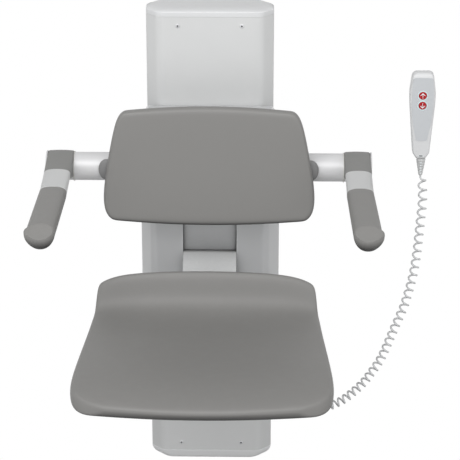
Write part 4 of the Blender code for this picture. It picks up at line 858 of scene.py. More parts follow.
FINISHES = (
    Finish("white_paint", written(210, 211, 211), 0.38, Texture.POWDER, grain=0.0028, relief=0.00004,
           wear=0.15, film=0.05, coat=0.15),
    Finish("white_plastic", written(218, 219, 220), 0.36, grain=0.0007, relief=0.00002, wear=0.10, film=0.04),
    # Housing: its edges are painted near-white as a highlight through the edge mask.
    Finish("housing_plastic", written(203, 204, 205), 0.34, grain=0.0009, relief=0.00002, wear=1.0,
           wear_and_highlight_colour=written(250, 251, 252), wear_and_highlight_width=0.0040, film=0.03, coat=0.5, shade=0.15, shade_reach=0.020),
    # Centre panel: strong painted shade in its recess, darkest just above the bracket.
    Finish("centre_panel_plastic", written(198, 199, 200), 0.45, grain=0.0009, relief=0.00002, film=0.03,
           shade=0.92, shade_reach=0.085),
    # Foam: painted shade in hollows, under the backrest, and on faces that look down.
    Finish("grey_foam", written(133, 132, 130), 0.55, Texture.FOAM_SKIN, grain=0.0011, relief=0.00003,
           wear=0.0, film=0.015, drift=0.012, sheen=0.02,
           shade=0.32, shade_reach=0.14, lee=0.85),
    Finish("hub_paint", written(129, 129, 127), 0.50, grain=0.0010, relief=0.00002, wear=0.05,
           wear_and_highlight_colour=written(150, 150, 148), film=0.02, drift=0.015),
    Finish("dark_plastic", written(128, 128, 128), 0.55, grain=0.0009, relief=0.00003, wear=0.10,
           wear_and_highlight_colour=written(150, 150, 150)),
    Finish("satin_aluminium", written(218, 218, 219), 0.47, Texture.BRUSHED, metallic=0.24, grain=0.0005,
           relief=0.000006, gloss_spread=0.10, drift=0.02, wear=0.10, film=0.02, squeeze=(0.03, 1.0, 1.0)),
    Finish("light_grey_plastic", written(203, 204, 204), 0.42, grain=0.0008, relief=0.00003, wear=0.15,
           film=0.05),
    # Bracket: painted shade towards the column behind it.
    Finish("bracket_paint", written(234, 235, 235), 0.42, Texture.POWDER, grain=0.0024, relief=0.00003,
           wear=0.0, shade=0.85, shade_reach=0.090),
    Finish("zinc_steel", written(216, 217, 219), 0.40, Texture.BRUSHED, metallic=0.25, grain=0.0012,
           relief=0.00001, gloss_spread=0.20, drift=0.08, squeeze=(0.4, 0.4, 0.05)),
    Finish("bearing_plastic", written(214, 213, 208), 0.45, grain=0.0008, relief=0.00002),
    Finish("keypad_film", written(200, 203, 206), 0.40, grain=0.0005, relief=0.00001, wear=0.0, film=0.03),
    Finish("red_button", written(172, 6, 18), 0.38, grain=0.0005, relief=0.00001, wear=0.03,
           wear_and_highlight_colour=written(215, 90, 95), film=0.0),
    Finish("cord_grey", written(212, 213, 214), 0.45, grain=0.0006, relief=0.00002, wear=0.0, film=0.03),
    Finish("button_halo", written(214, 240, 242), 0.40, grain=0.0005, relief=0.00001, wear=0.0, film=0.0),
    Finish("cap_white", written(216, 217, 218), 0.38, grain=0.0007, relief=0.00002, wear=0.05, film=0.03),
    # Bottom cap: the cap's light plastic painted lighter still, as painted light where the seat keeps light off it.
    Finish("cap_grey", written(246, 247, 248), 0.40, grain=0.0007, relief=0.00002, wear=0.05, film=0.03),
    # White of the arrows' print, also used for painted highlights on the slot's rim and the relief's ribs.
    Finish("arrow_white", written(232, 238, 240), 0.40, grain=0.0005, relief=0.00001, wear=0.0, film=0.0),
    # Painted shade: the dark of the hand control's slot and of the screws' sockets.
    Finish("slot_dark", written(92, 93, 94), 0.50, grain=0.0005, relief=0.00001, wear=0.0, film=0.0),
)


SOFT_EDGES = {"carriage_housing": 0.0016, "carriage_skirt_left": 0.0008, "carriage_skirt_right": 0.0008,
              "centre_panel": 0.0006, "seat_bracket": 0.0016, "handset_panel": 0.0002}


class Workshop:
    """Holds the finishes and fits pieces to the frame."""

    def __init__(self) -> None:
        """Build the effects, every finish's material and the modifier group for the frame's nodes."""
        effects = Effects()
        self.materials = {finish.name: finish.material(effects) for finish in FINISHES}
        self.slots = {row["slot"] for row in frame["record"]["materials"]}
        self.even_faces = self.build_even_faces()
        self.stood_for: set[str] = set()

    def build_even_faces(self) -> bpy.types.NodeTree:
        """Make the geometry group that joins a node's split points and smooths its low edges.

        Returns:
            The group.
        """
        tree = bpy.data.node_groups.new("even_faces", "GeometryNodeTree")
        tree.interface.new_socket(name="Geometry", in_out="INPUT", socket_type="NodeSocketGeometry")
        tree.interface.new_socket(name="Geometry", in_out="OUTPUT", socket_type="NodeSocketGeometry")
        wiring = Wiring(tree)
        start = wiring.add("NodeGroupInput").outputs[0]
        joined = wiring.add("GeometryNodeMergeByDistance")
        joined.inputs["Distance"].default_value = 0.000005
        plain = wiring.add("GeometryNodeRemoveAttribute")
        plain.inputs["Name"].default_value = "custom_normal"
        faces = wiring.add("GeometryNodeSetShadeSmooth", domain="FACE")
        edges = wiring.add("GeometryNodeSetShadeSmooth", domain="EDGE")
        edges.inputs["Shade Smooth"].default_value = False
        angle = wiring.add("GeometryNodeInputMeshEdgeAngle")
        crisp = wiring.add("FunctionNodeCompare", data_type="FLOAT", operation="GREATER_THAN")
        crisp.inputs["B"].default_value = math.radians(NODE_CRISP_ANGLE)
        stop = wiring.add("NodeGroupOutput").inputs[0]
        links = tree.links
        links.new(start, joined.inputs["Geometry"])
        links.new(joined.outputs["Geometry"], plain.inputs["Geometry"])
        links.new(plain.outputs["Geometry"], faces.inputs["Geometry"])
        links.new(faces.outputs["Geometry"], edges.inputs["Geometry"])
        links.new(angle.outputs["Unsigned Angle"], crisp.inputs["A"])
        links.new(crisp.outputs["Result"], edges.inputs["Selection"])
        links.new(edges.outputs["Geometry"], stop)
        return tree

    def fit(self, name: str, mesh: bpy.types.ID, finish: str, body: str, stands_for: Sequence[str] = (),
            slot: str = "") -> bpy.types.Object:
        """Put a new piece on a body.

        Args:
            name: the piece's name.
            mesh: its mesh or curve, in the row frame.
            finish: the name of its finish.
            body: the body that it rides on.
            stands_for: the frame's nodes that it replaces.
            slot: the record's material slot, where it isn't named as the finish; it is not used.

        Returns:
            The piece.
        """
        piece = bpy.data.objects.new(name, mesh)
        bpy.context.scene.collection.objects.link(piece)
        mesh.materials.append(self.materials[finish])
        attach(piece, body)
        chosen = slot or finish
        chosen in self.slots
        if stands_for:
            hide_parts(*stands_for)
            self.stood_for.update(stands_for)
        log.info("%s rides on %s%s", name, body, ", for " + ", ".join(stands_for) if stands_for else "")
        return piece

    def soften(self, piece: bpy.types.Object, levels: int) -> None:
        """Add a Subdivision Surface.

        Args:
            piece: the piece.
            levels: its levels.
        """
        step = piece.modifiers.new("soft_form", "SUBSURF")
        step.levels = levels
        step.render_levels = levels

    def level(self, piece: bpy.types.Object) -> None:
        """Let a piece's broad faces lead its shading, so that they look flat.

        Args:
            piece: the piece.
        """
        weighted = piece.modifiers.new("flat_faces_first", "WEIGHTED_NORMAL")
        weighted.keep_sharp = True

    def dress(self, node: str) -> None:
        """Give a frame node that stays its finish, by its own slot, and even shading.

        Args:
            node: the node's name.
        """
        piece = frame["nodes"][node]
        slot = piece.material_slots[0].material.name.split(".")[0]
        piece.material_slots[0].material = self.materials[slot]
        even = piece.modifiers.new("even_faces", "NODES")
        even.node_group = self.even_faces
        if node in SOFT_EDGES:
            edge = piece.modifiers.new("soft_edges", "BEVEL")
            edge.width = SOFT_EDGES[node]
            edge.segments = 3
            edge.limit_method = "ANGLE"
            edge.angle_limit = math.radians(NODE_CRISP_ANGLE)
            edge.harden_normals = False
        self.level(piece)
        log.info("%s keeps its shape, finished as %s", node, slot)

    def dress_rest(self) -> None:
        """Dress every frame node that no piece stands for."""
        for node in sorted(frame["nodes"]):
            if node not in self.stood_for:
                self.dress(node)


# Studio

@dataclass
class Studio:
    """Camera, lamps, sky and floor."""

    eye: Point = (0.1085, -4.3, 1.70)
    tilt: float = 22.97
    turn: float = 0.945
    lens: float = 178.04
    frame_shift: float = -0.10
    floor_height: float = -0.86
    floor_size: Pair = (3.6, 2.6)
    floor_thickness: float = 0.01
    floor_rear: float = 0.1
    floor_fade: float = 0.6
    floor_tones: tuple[Colour, Colour] = (written(238, 238, 238), written(242, 242, 242))
    key_size: Pair = (2.4, 1.4)
    key_place: Point = (-0.5, -2.35, 2.15)
    key_aim: Point = (0.0, -0.3, -0.15)
    key_power: float = 38.0
    sky: tuple[tuple[float, float, float, float], ...] = (
        (0.0, 12.0, 2.10, 8.0), (-65.0, 30.0, 1.50, 8.0), (65.0, 30.0, 1.85, 8.0), (0.0, -35.0, 0.10, 8.0),
        (-58.0, -20.0, 1.7, 60.0), (62.0, -20.0, 1.2, 60.0), (180.0, 0.0, 1.5, 8.0))
    sky_least: float = 0.03
    floor_glow: float = 0.45
    floor_bounce: Colour = written(110, 110, 110)

    def build(self) -> None:
        """Build all of the studio."""
        self.build_camera()
        self.build_sky()
        self.build_lamps()
        self.build_floor()
        scene = bpy.context.scene
        scene.view_settings.view_transform = "Standard"
        log.info("studio ready")

    def build_camera(self) -> None:
        """Stand the camera where the photograph was taken from."""
        data = bpy.data.cameras.new("camera")
        data.lens = self.lens
        data.sensor_width = 36.0
        data.shift_y = self.frame_shift
        data.clip_start = 0.1
        data.clip_end = 50.0
        camera = bpy.data.objects.new("camera", data)
        bpy.context.scene.collection.objects.link(camera)
        tilt, turn = math.radians(self.tilt), math.radians(self.turn)
        ahead = Vector((-math.sin(turn) * math.cos(tilt), math.cos(turn) * math.cos(tilt), -math.sin(tilt)))
        camera.location = self.eye
        camera.rotation_euler = ahead.to_track_quat("-Z", "Y").to_euler()
        bpy.context.scene.camera = camera

    def build_sky(self) -> None:
        """Light from wide soft panels all round, and show white behind the seat."""
        world = bpy.data.worlds.new("studio_sky")
        world.use_nodes = True
        bpy.context.scene.world = world
        wiring = Wiring(world.node_tree)
        way = wiring.add("ShaderNodeTexCoord").outputs["Generated"]
        level: object = self.sky_least
        for turn, rise, strength, focus in self.sky:
            turn, rise = math.radians(turn), math.radians(rise)
            middle = (math.sin(turn) * math.cos(rise), -math.cos(turn) * math.cos(rise), math.sin(rise))
            near = wiring.maths("MAXIMUM", wiring.vector("DOT_PRODUCT", way, middle), 0.0)
            glow = wiring.maths("MULTIPLY", wiring.maths("POWER", near, focus), strength)
            level = wiring.maths("ADD", level, glow)
        light = wiring.add("ShaderNodeBackground")
        wiring.feed(light.inputs["Strength"], level)
        white = wiring.add("ShaderNodeBackground")
        white.inputs["Color"].default_value = WHITE
        light.inputs["Color"].default_value = WHITE
        ray = wiring.add("ShaderNodeLightPath")
        seen = wiring.maths("MAXIMUM", ray.outputs["Is Camera Ray"],
                            wiring.maths("MAXIMUM", ray.outputs["Is Glossy Ray"],
                                         ray.outputs["Is Transmission Ray"]))
        mix = wiring.add("ShaderNodeMixShader")
        wiring.feed(mix.inputs["Fac"], seen)
        wiring.feed(mix.inputs[1], light.outputs["Background"])
        wiring.feed(mix.inputs[2], white.outputs["Background"])
        output = wiring.add("ShaderNodeOutputWorld")
        wiring.feed(output.inputs["Surface"], mix.outputs["Shader"])

    def build_lamps(self) -> None:
        """Hang the soft box above in front, a little to the left."""
        data = bpy.data.lights.new("key_box", "AREA")
        data.shape = "RECTANGLE"
        data.size, data.size_y = self.key_size
        data.energy = self.key_power
        lamp = bpy.data.objects.new("key_box", data)
        bpy.context.scene.collection.objects.link(lamp)
        lamp.location = self.key_place
        aim = Vector(self.key_aim) - lamp.location
        lamp.rotation_euler = aim.to_track_quat("-Z", "Y").to_euler()

    def build_floor(self) -> None:
        """Lay the pale floor that keeps the seat's shadow, up to the wall's line."""
        across, deep = self.floor_size
        half, rear, ahead = across / 2, self.floor_rear, self.floor_rear - deep
        mesh = lofted("floor", [[(-half, rear, z), (half, rear, z), (half, ahead, z), (-half, ahead, z)]
                                for z in (self.floor_height - self.floor_thickness, self.floor_height)])
        floor = bpy.data.objects.new("floor", mesh)
        bpy.context.scene.collection.objects.link(floor)
        paint = bpy.data.materials.new("floor_paint")
        paint.use_nodes = True
        wiring = Wiring(paint.node_tree)
        place = wiring.add("ShaderNodeTexCoord").outputs["Object"]
        shader = wiring.add("ShaderNodeBsdfPrincipled")
        speck = wiring.noise(place, 300.0, 2.0)
        seen = wiring.mixed(wiring.remap(speck, 0.3, 0.7, 0.0, 1.0), *self.floor_tones)
        ray = wiring.add("ShaderNodeLightPath")
        straight = wiring.maths("MAXIMUM", ray.outputs["Is Camera Ray"], ray.outputs["Is Glossy Ray"])
        wiring.feed(shader.inputs["Base Color"], wiring.mixed(straight, self.floor_bounce, seen))
        shader.inputs["Roughness"].default_value = 0.8
        glow = wiring.add("ShaderNodeEmission")
        glow.inputs["Color"].default_value = WHITE
        parts = wiring.add("ShaderNodeSeparateXYZ")
        wiring.feed(parts.inputs[0], place)
        out_x = wiring.remap(wiring.maths("ABSOLUTE", parts.outputs["X"]), half - self.floor_fade, half, 0.0, 1.0)
        out_y = wiring.remap(parts.outputs["Y"], ahead, ahead + self.floor_fade, 1.0, 0.0)
        near_wall = wiring.remap(parts.outputs["Y"], rear - 0.15, rear, 0.0, 1.0)
        away = wiring.maths("MAXIMUM", near_wall, wiring.maths("MAXIMUM", out_x, out_y))
        away = wiring.maths("MAXIMUM", away, self.floor_glow)
        fade = wiring.maths("MULTIPLY", away, ray.outputs["Is Camera Ray"])
        mix = wiring.add("ShaderNodeMixShader")
        wiring.feed(mix.inputs["Fac"], fade)
        wiring.feed(mix.inputs[1], shader.outputs["BSDF"])
        wiring.feed(mix.inputs[2], glow.outputs["Emission"])
        output = wiring.add("ShaderNodeOutputMaterial")
        wiring.feed(output.inputs["Surface"], mix.outputs["Shader"])
        mesh.materials.append(paint)


# Curly cord

@dataclass
class CurlyCord:
    """The hand control's curly cord, one unbroken wire from the strain relief to the gland."""

    start: Point = (0.423, 0.05475, -0.0766)
    stop: Point = (0.1556, 0.077, -0.606)
    wire: float = 0.004
    curl: float = 0.0195
    curl_start: float = 0.5
    pitch_top: float = 0.0206
    pitch_low: float = 0.0118
    steps: int = 16
    route: tuple[Point, ...] = (
        (-0.0150, 0.0000, 0.0291), (-0.0235, 0.0112, 0.1065), (-0.0150, 0.0112, 0.1783),
        (-0.0056, 0.0112, 0.2501), (0.0037, 0.0112, 0.3200), (0.0187, 0.0112, 0.3899),
        (0.0430, 0.0112, 0.4598), (0.0860, 0.0562, 0.5485), (0.1159, 0.1011, 0.5920),
        (0.1608, 0.1910, 0.6505), (0.2543, 0.3258, 0.7752), (0.3366, 0.4607, 0.8451),
        (0.4114, 0.5506, 0.8961), (0.5385, 0.6854, 0.9547), (0.6470, 0.7978, 0.9830),
        (0.7405, 0.8876, 0.9962), (0.8527, 0.9551, 1.0038), (0.9387, 1.0000, 1.0000))

    def corners(self) -> list[np.ndarray]:
        """Give the route's points, as the part's source has them.

        Returns:
            The points in the row frame, in metres.
        """
        first, last = np.array(self.start), np.array(self.stop)
        points = [first, first - (0.0, 0.0, self.wire)]
        points += [first + (last - first) * np.array(share) for share in self.route]
        points += [last + (self.wire, 0.0, 0.0), last]
        return [np.array((x, -depth, z)) for x, depth, z in points]

    def middle_line(self) -> np.ndarray:
        """Run a smooth curve through the route's points.

        Returns:
            Close points along the curve.
        """
        known = self.corners()
        known = [2 * known[0] - known[1], *known, 2 * known[-1] - known[-2]]
        close = []
        for index in range(1, len(known) - 2):
            before, start, stop, after = known[index - 1:index + 3]
            for step in range(16):
                t = step / 16
                close.append(0.5 * (2 * start + (stop - before) * t
                                    + (2 * before - 5 * start + 4 * stop - after) * t**2
                                    + (3 * start - before - 3 * stop + after) * t**3))
        close.append(known[-2])
        return np.array(close)

    def wire_line(self) -> np.ndarray:
        """Wind the wire round the middle line.

        Returns:
            Points along the wire, with a straight end of one wire's width at each end.
        """
        line = self.middle_line()
        lengths = np.concatenate([[0.0], np.cumsum(np.linalg.norm(np.diff(line, axis=0), axis=1))])
        start, stop = self.wire, lengths[-1] - self.wire
        radius = (self.curl - self.wire) / 2
        places, turns = [start], [0.0]
        while places[-1] < stop:
            share = (places[-1] - start) / (stop - start)
            pitch = self.pitch_top + (self.pitch_low - self.pitch_top) * share
            places.append(places[-1] + pitch / self.steps)
            turns.append(turns[-1] + 1.0 / self.steps)
        curls = round(turns[-1])
        reach = (stop - start) / (places[-1] - start)

        def at(along: float) -> np.ndarray:
            """Point of the middle line at a length along it."""
            held = min(max(along, 0.0), lengths[-1])
            return np.array([np.interp(held, lengths, line[:, axis]) for axis in range(3)])

        points = [line[0]]
        for place, turn in zip(places, turns):
            along = start + (place - start) * reach
            tangent = at(along + 0.001) - at(along - 0.001)
            tangent /= np.linalg.norm(tangent)
            side = np.cross(tangent, (0.0, 1.0, 0.0))
            side /= np.linalg.norm(side)
            other = np.cross(tangent, side)
            turn_now = turn * curls / turns[-1]
            swell = smooth_step(min(1.0, turn_now / 0.6, (curls - turn_now) / 0.6))
            angle = -2 * math.pi * (turn_now + self.curl_start)
            points.append(at(along) + radius * swell * (math.cos(angle) * side + math.sin(angle) * other))
        points.append(line[-1])
        return np.array(points)

    def build(self, shop: Workshop) -> None:
        """Build the cord.

        Args:
            shop: the workshop.
        """
        points = self.wire_line()
        curve = bpy.data.curves.new("curly_cord", "CURVE")
        curve.dimensions = "3D"
        curve.bevel_depth = self.wire / 2
        curve.bevel_resolution = 3
        curve.use_fill_caps = True
        spline = curve.splines.new("POLY")
        spline.points.add(len(points) - 1)
        for point, place in zip(spline.points, points):
            point.co = (*place, 1.0)
        piece = shop.fit("curly_cord", curve, "cord_grey", "column", ["handset_cord"])


# Hand control

@dataclass
class HandControl:
    """Two smooth shells, the buttons with their arrows and halos, the small slot and the strain relief, with painted
    shade in the slot and painted highlights on the slot's rim and the relief's ribs.
    """

    x: float = 0.4216
    cord_x: float = 0.423
    corners: tuple[Point, ...] = (
        (0.0092, -0.0370, 0.0045), (0.0170, -0.0240, 0.006), (0.0257, 0.0850, 0.030),
        (0.0257, 0.1050, 0.030), (0.0212, 0.1400, 0.010), (0.0150, 0.1460, 0.006))
    rear: float = 0.041
    split: Pair = (0.0520, 0.0523)
    front: float = 0.0685
    edge: float = 0.0042
    top_slope: Pair = (0.0095, 0.0110)
    rear_top_slope: Pair = (0.0200, 0.0100)
    low_slope: Pair = (0.0070, 0.0040)
    panel_front: float = 0.0696
    button_front: float = 0.0708
    button_rear: float = 0.0569
    button_radius: float = 0.008
    button_hole: float = 0.0084
    hole_depth: float = 0.020
    buttons: tuple[tuple[str, float, float], ...] = (("up_button", 0.0995, 1.0), ("down_button", 0.0785, -1.0))
    halo_inner: float = 0.0083
    halo_outer: float = 0.0102
    sheet: float = 0.00012
    slot_height: float = -0.0298
    relief_top: float = -0.0373
    relief_length: float = 0.039
    panel_corners: tuple[Point, ...] = (
        (0.0106, 0.0030, 0.004), (0.0192, 0.0480, 0.060), (0.0215, 0.0800, 0.060), (0.0214, 0.1080, 0.060),
        (0.0196, 0.1365, 0.005))
    cord_depth: float = 0.05475
    ribs: int = 5

    def half_width(self, height: float) -> float:
        """Read the body's half width off its outline from the front.

        Args:
            height: where to read.

        Returns:
            The half width.
        """
        outline = [place for place in rounded(mirrored(self.corners), 10) if place[0] > 0.0]
        return between([(up, across) for across, up in outline], height)

    def shell(self, name: str, split: float, outer: float) -> bpy.types.Mesh:
        """Make one shell of the body, as sections from its foot to its top.

        Args:
            name: the mesh's name.
            split: the depth where the two shells meet.
            outer: the depth of its outer face.

        Returns:
            The mesh.
        """
        low, high = self.corners[0][1], self.corners[-1][1]
        thick = abs(outer - split)
        way = math.copysign(1.0, outer - split)
        rows = 96
        rings = []
        for row in range(rows + 1):
            share = 0.5 - 0.5 * math.cos(math.pi * row / rows)
            height = low + (high - low) * (0.35 * row / rows + 0.65 * share)
            half = self.half_width(height)
            full = thick
            slope = self.top_slope if way > 0.0 else self.rear_top_slope
            for reach, (length, fall) in ((height - (high - slope[0]), slope),
                                          (low + self.low_slope[0] - height, self.low_slope)):
                if reach > 0.0:
                    full -= fall * (1.0 - math.sqrt(max(0.0, 1.0 - (reach / length) ** 2)))
            edge = min(self.edge, 0.8 * half, 0.9 * full)
            section = [(half, 0.0)]
            flat = half - edge
            section += [(flat + edge * cosine, full - edge + edge * sine) for cosine, sine in quarter(8)]
            section += [(flat * (1.0 - step / 6), full) for step in range(1, 6)]
            section += [(0.0, full)] + [(-across, out) for across, out in reversed(section)]
            rings.append([(self.x + across, -split - way * out, height) for across, out in section])
        return lofted(name, rings)

    def button_rods(self, rear: float) -> list[bpy.types.Mesh]:
        """Make the rods that cut the buttons' holes.

        Args:
            rear: the depth where the rods begin.

        Returns:
            The rods.
        """
        profile = [(self.button_hole, 0.0), (self.button_hole, -self.hole_depth)]
        return [turned(label + "_hole", profile, (self.x, -rear, height), "y", 48)
                for label, height, _ in self.buttons]

    def body(self) -> bpy.types.Mesh:
        """Make the front shell, with a hole for each button.

        Returns:
            The mesh.
        """
        shell = self.shell("handset_front_shell", self.split[1], self.front)
        return cut(shell, self.button_rods(self.split[1] + 0.0025))

    def arrow(self, name: str, height: float, way: float) -> bpy.types.Mesh:
        """Make the flat arrow on a button: a broad head over three dots.

        Args:
            name: the mesh's name.
            height: the button's middle height.
            way: 1 for up, -1 for down.

        Returns:
            The mesh.
        """
        head = [(0.0, 0.0058), (0.0056, 0.0001), (0.0040, 0.0004), (0.0, 0.0024), (-0.0040, 0.0004),
                (-0.0056, 0.0001)]
        outlines = [head]
        for middle, radius in ((-0.0001, 0.0010), (-0.0024, 0.0007), (-0.0045, 0.0009)):
            outlines.append([(across, middle + up) for across, up, _ in circle((0.0, 0.0, 0.0), radius, "z", 16)])
        placed = [[(self.x + across, height + way * up) for across, up in outline] for outline in outlines]
        return raised(name, placed, (self.button_front + 0.00002, self.button_front + self.sheet))

    def slot(self, name: str, half: float, high: float, depth: float) -> bpy.types.Mesh:
        """Make the small slot at the foot, a dark sheet painted as the shade in its opening, or its rim, a near-white
        sheet painted as a highlight on its bevel, as a raised shape with round ends.

        Args:
            name: the mesh's name.
            half: half its width.
            high: half its height.
            depth: how far its face lies in front of the body's.

        Returns:
            The mesh.
        """
        corners = [(half, -high, high * 0.98), (half, high, high * 0.98), (-half, high, high * 0.98),
                   (-half, -high, high * 0.98)]
        outline = [(self.x + across, self.slot_height + up) for across, up in rounded(corners, 6)]
        return raised(name, [outline], (self.front - 0.0012, self.front + depth))

    def panel(self) -> bpy.types.Mesh:
        """Make the keypad's film, which follows the body's outline.

        Returns:
            The mesh.
        """
        outline = [(self.x + across, up) for across, up in rounded(mirrored(self.panel_corners), 8)]
        sheet = raised("keypad_panel", [outline], (self.panel_front - 0.0015, self.panel_front))
        return cut(sheet, self.button_rods(self.panel_front - 0.008))

    def relief_radius(self, share: float) -> float:
        """Radius of the strain relief, with a slight bulge under its top.

        Args:
            share: 0 at its top, 1 at its foot.

        Returns:
            The radius.
        """
        return between([(0.0, 0.0088), (0.12, 0.0094), (0.22, 0.0090), (1.0, 0.0040)], share)

    def strain_relief(self) -> bpy.types.Mesh:
        """Make the tapered sleeve with fine ribs.

        Returns:
            The mesh.
        """
        rows = 120
        profile = []
        for row in range(rows + 1):
            share = row / rows
            rib = 0.00022 * math.cos(2.0 * math.pi * share * self.ribs * 1.35)
            profile.append((self.relief_radius(share) - 0.0002 + rib, -self.relief_length * share))
        return turned("strain_relief", profile, (self.cord_x, -self.cord_depth, self.relief_top), "z", 64)

    def window(self, name: str, share: float) -> bpy.types.Mesh:
        """Make one of the painted highlights down the front of the strain relief: a near-white bar on the upper face
        of a rib.

        Args:
            name: the mesh's name.
            share: its place, 0 at the relief's top and 1 at its foot.

        Returns:
            The mesh.
        """
        half = 0.0022 - 0.0008 * share
        height = self.relief_top - self.relief_length * share
        corners = [(half, height - 0.0009, 0.0008), (half, height + 0.0009, 0.0008),
                   (-half, height + 0.0009, 0.0008), (-half, height - 0.0009, 0.0008)]
        outline = [(self.cord_x - 0.0004 + across, up) for across, up in rounded(corners, 5)]
        front = self.cord_depth + self.relief_radius(share)
        return raised(name, [outline], (front - 0.0012, front + 0.0003))

    def build(self, shop: Workshop) -> None:
        """Build the hand control.

        Args:
            shop: the workshop.
        """
        shop.level(shop.fit("handset_front_shell", self.body(), "white_plastic", "column", ["handset_body"]))
        rear = self.shell("handset_rear_shell", self.split[0], self.rear)
        shop.level(shop.fit("handset_rear_shell", rear, "white_plastic", "column", ["handset_back"]))
        for body, height, way in self.buttons:
            label = body.split("_")[0]
            top, foot, round_off = self.button_front, self.button_rear, 0.0006
            profile = [(0.0025, -foot), (0.0025, -foot - 0.007), (self.button_radius, -foot - 0.007),
                       (self.button_radius, -top + round_off)]
            profile += [(self.button_radius - round_off * (1.0 - cosine), -top + round_off * (1.0 - sine))
                        for cosine, sine in quarter(5, 1)]
            cap = turned(label + "_cap", profile, (self.x, 0.0, height), "y", 64)
            shop.level(shop.fit(label + "_cap", cap, "red_button", body, [body]))
            shop.fit(label + "_arrow", self.arrow(label + "_arrow", height, way), "arrow_white", body)
            profile = [(self.halo_inner, -0.00002), (self.halo_inner, -self.sheet),
                       (self.halo_outer, -self.sheet), (self.halo_outer, -0.00002)]
            halo = turned(label + "_halo", profile, (self.x, -self.panel_front, height), "y", 64, True)
            shop.fit(label + "_halo", halo, "button_halo", "column")
        # Painted shade and highlight: a dark sheet stands for the shade in the slot, a near-white rim for the light on
        # its edge.
        shop.fit("slot_rim_highlight", self.slot("slot_rim_highlight", 0.0047, 0.0018, 0.00015), "arrow_white", "column")
        shop.fit("foot_slot", self.slot("foot_slot", 0.0038, 0.0012, 0.00022), "slot_dark", "column")
        shop.fit("strain_relief", self.strain_relief(), "light_grey_plastic", "column",
                 ["handset_strain_relief"])
        shop.fit("keypad_panel", self.panel(), "keypad_film", "column", ["handset_panel"])
        # Painted highlights: near-white bars on the upper faces of the relief's ribs.
        for number in range(1, self.ribs + 1):
            name = "relief_window_%d" % number
            shop.fit(name, self.window(name, 0.10 + 0.155 * number), "arrow_white", "column")


# Column

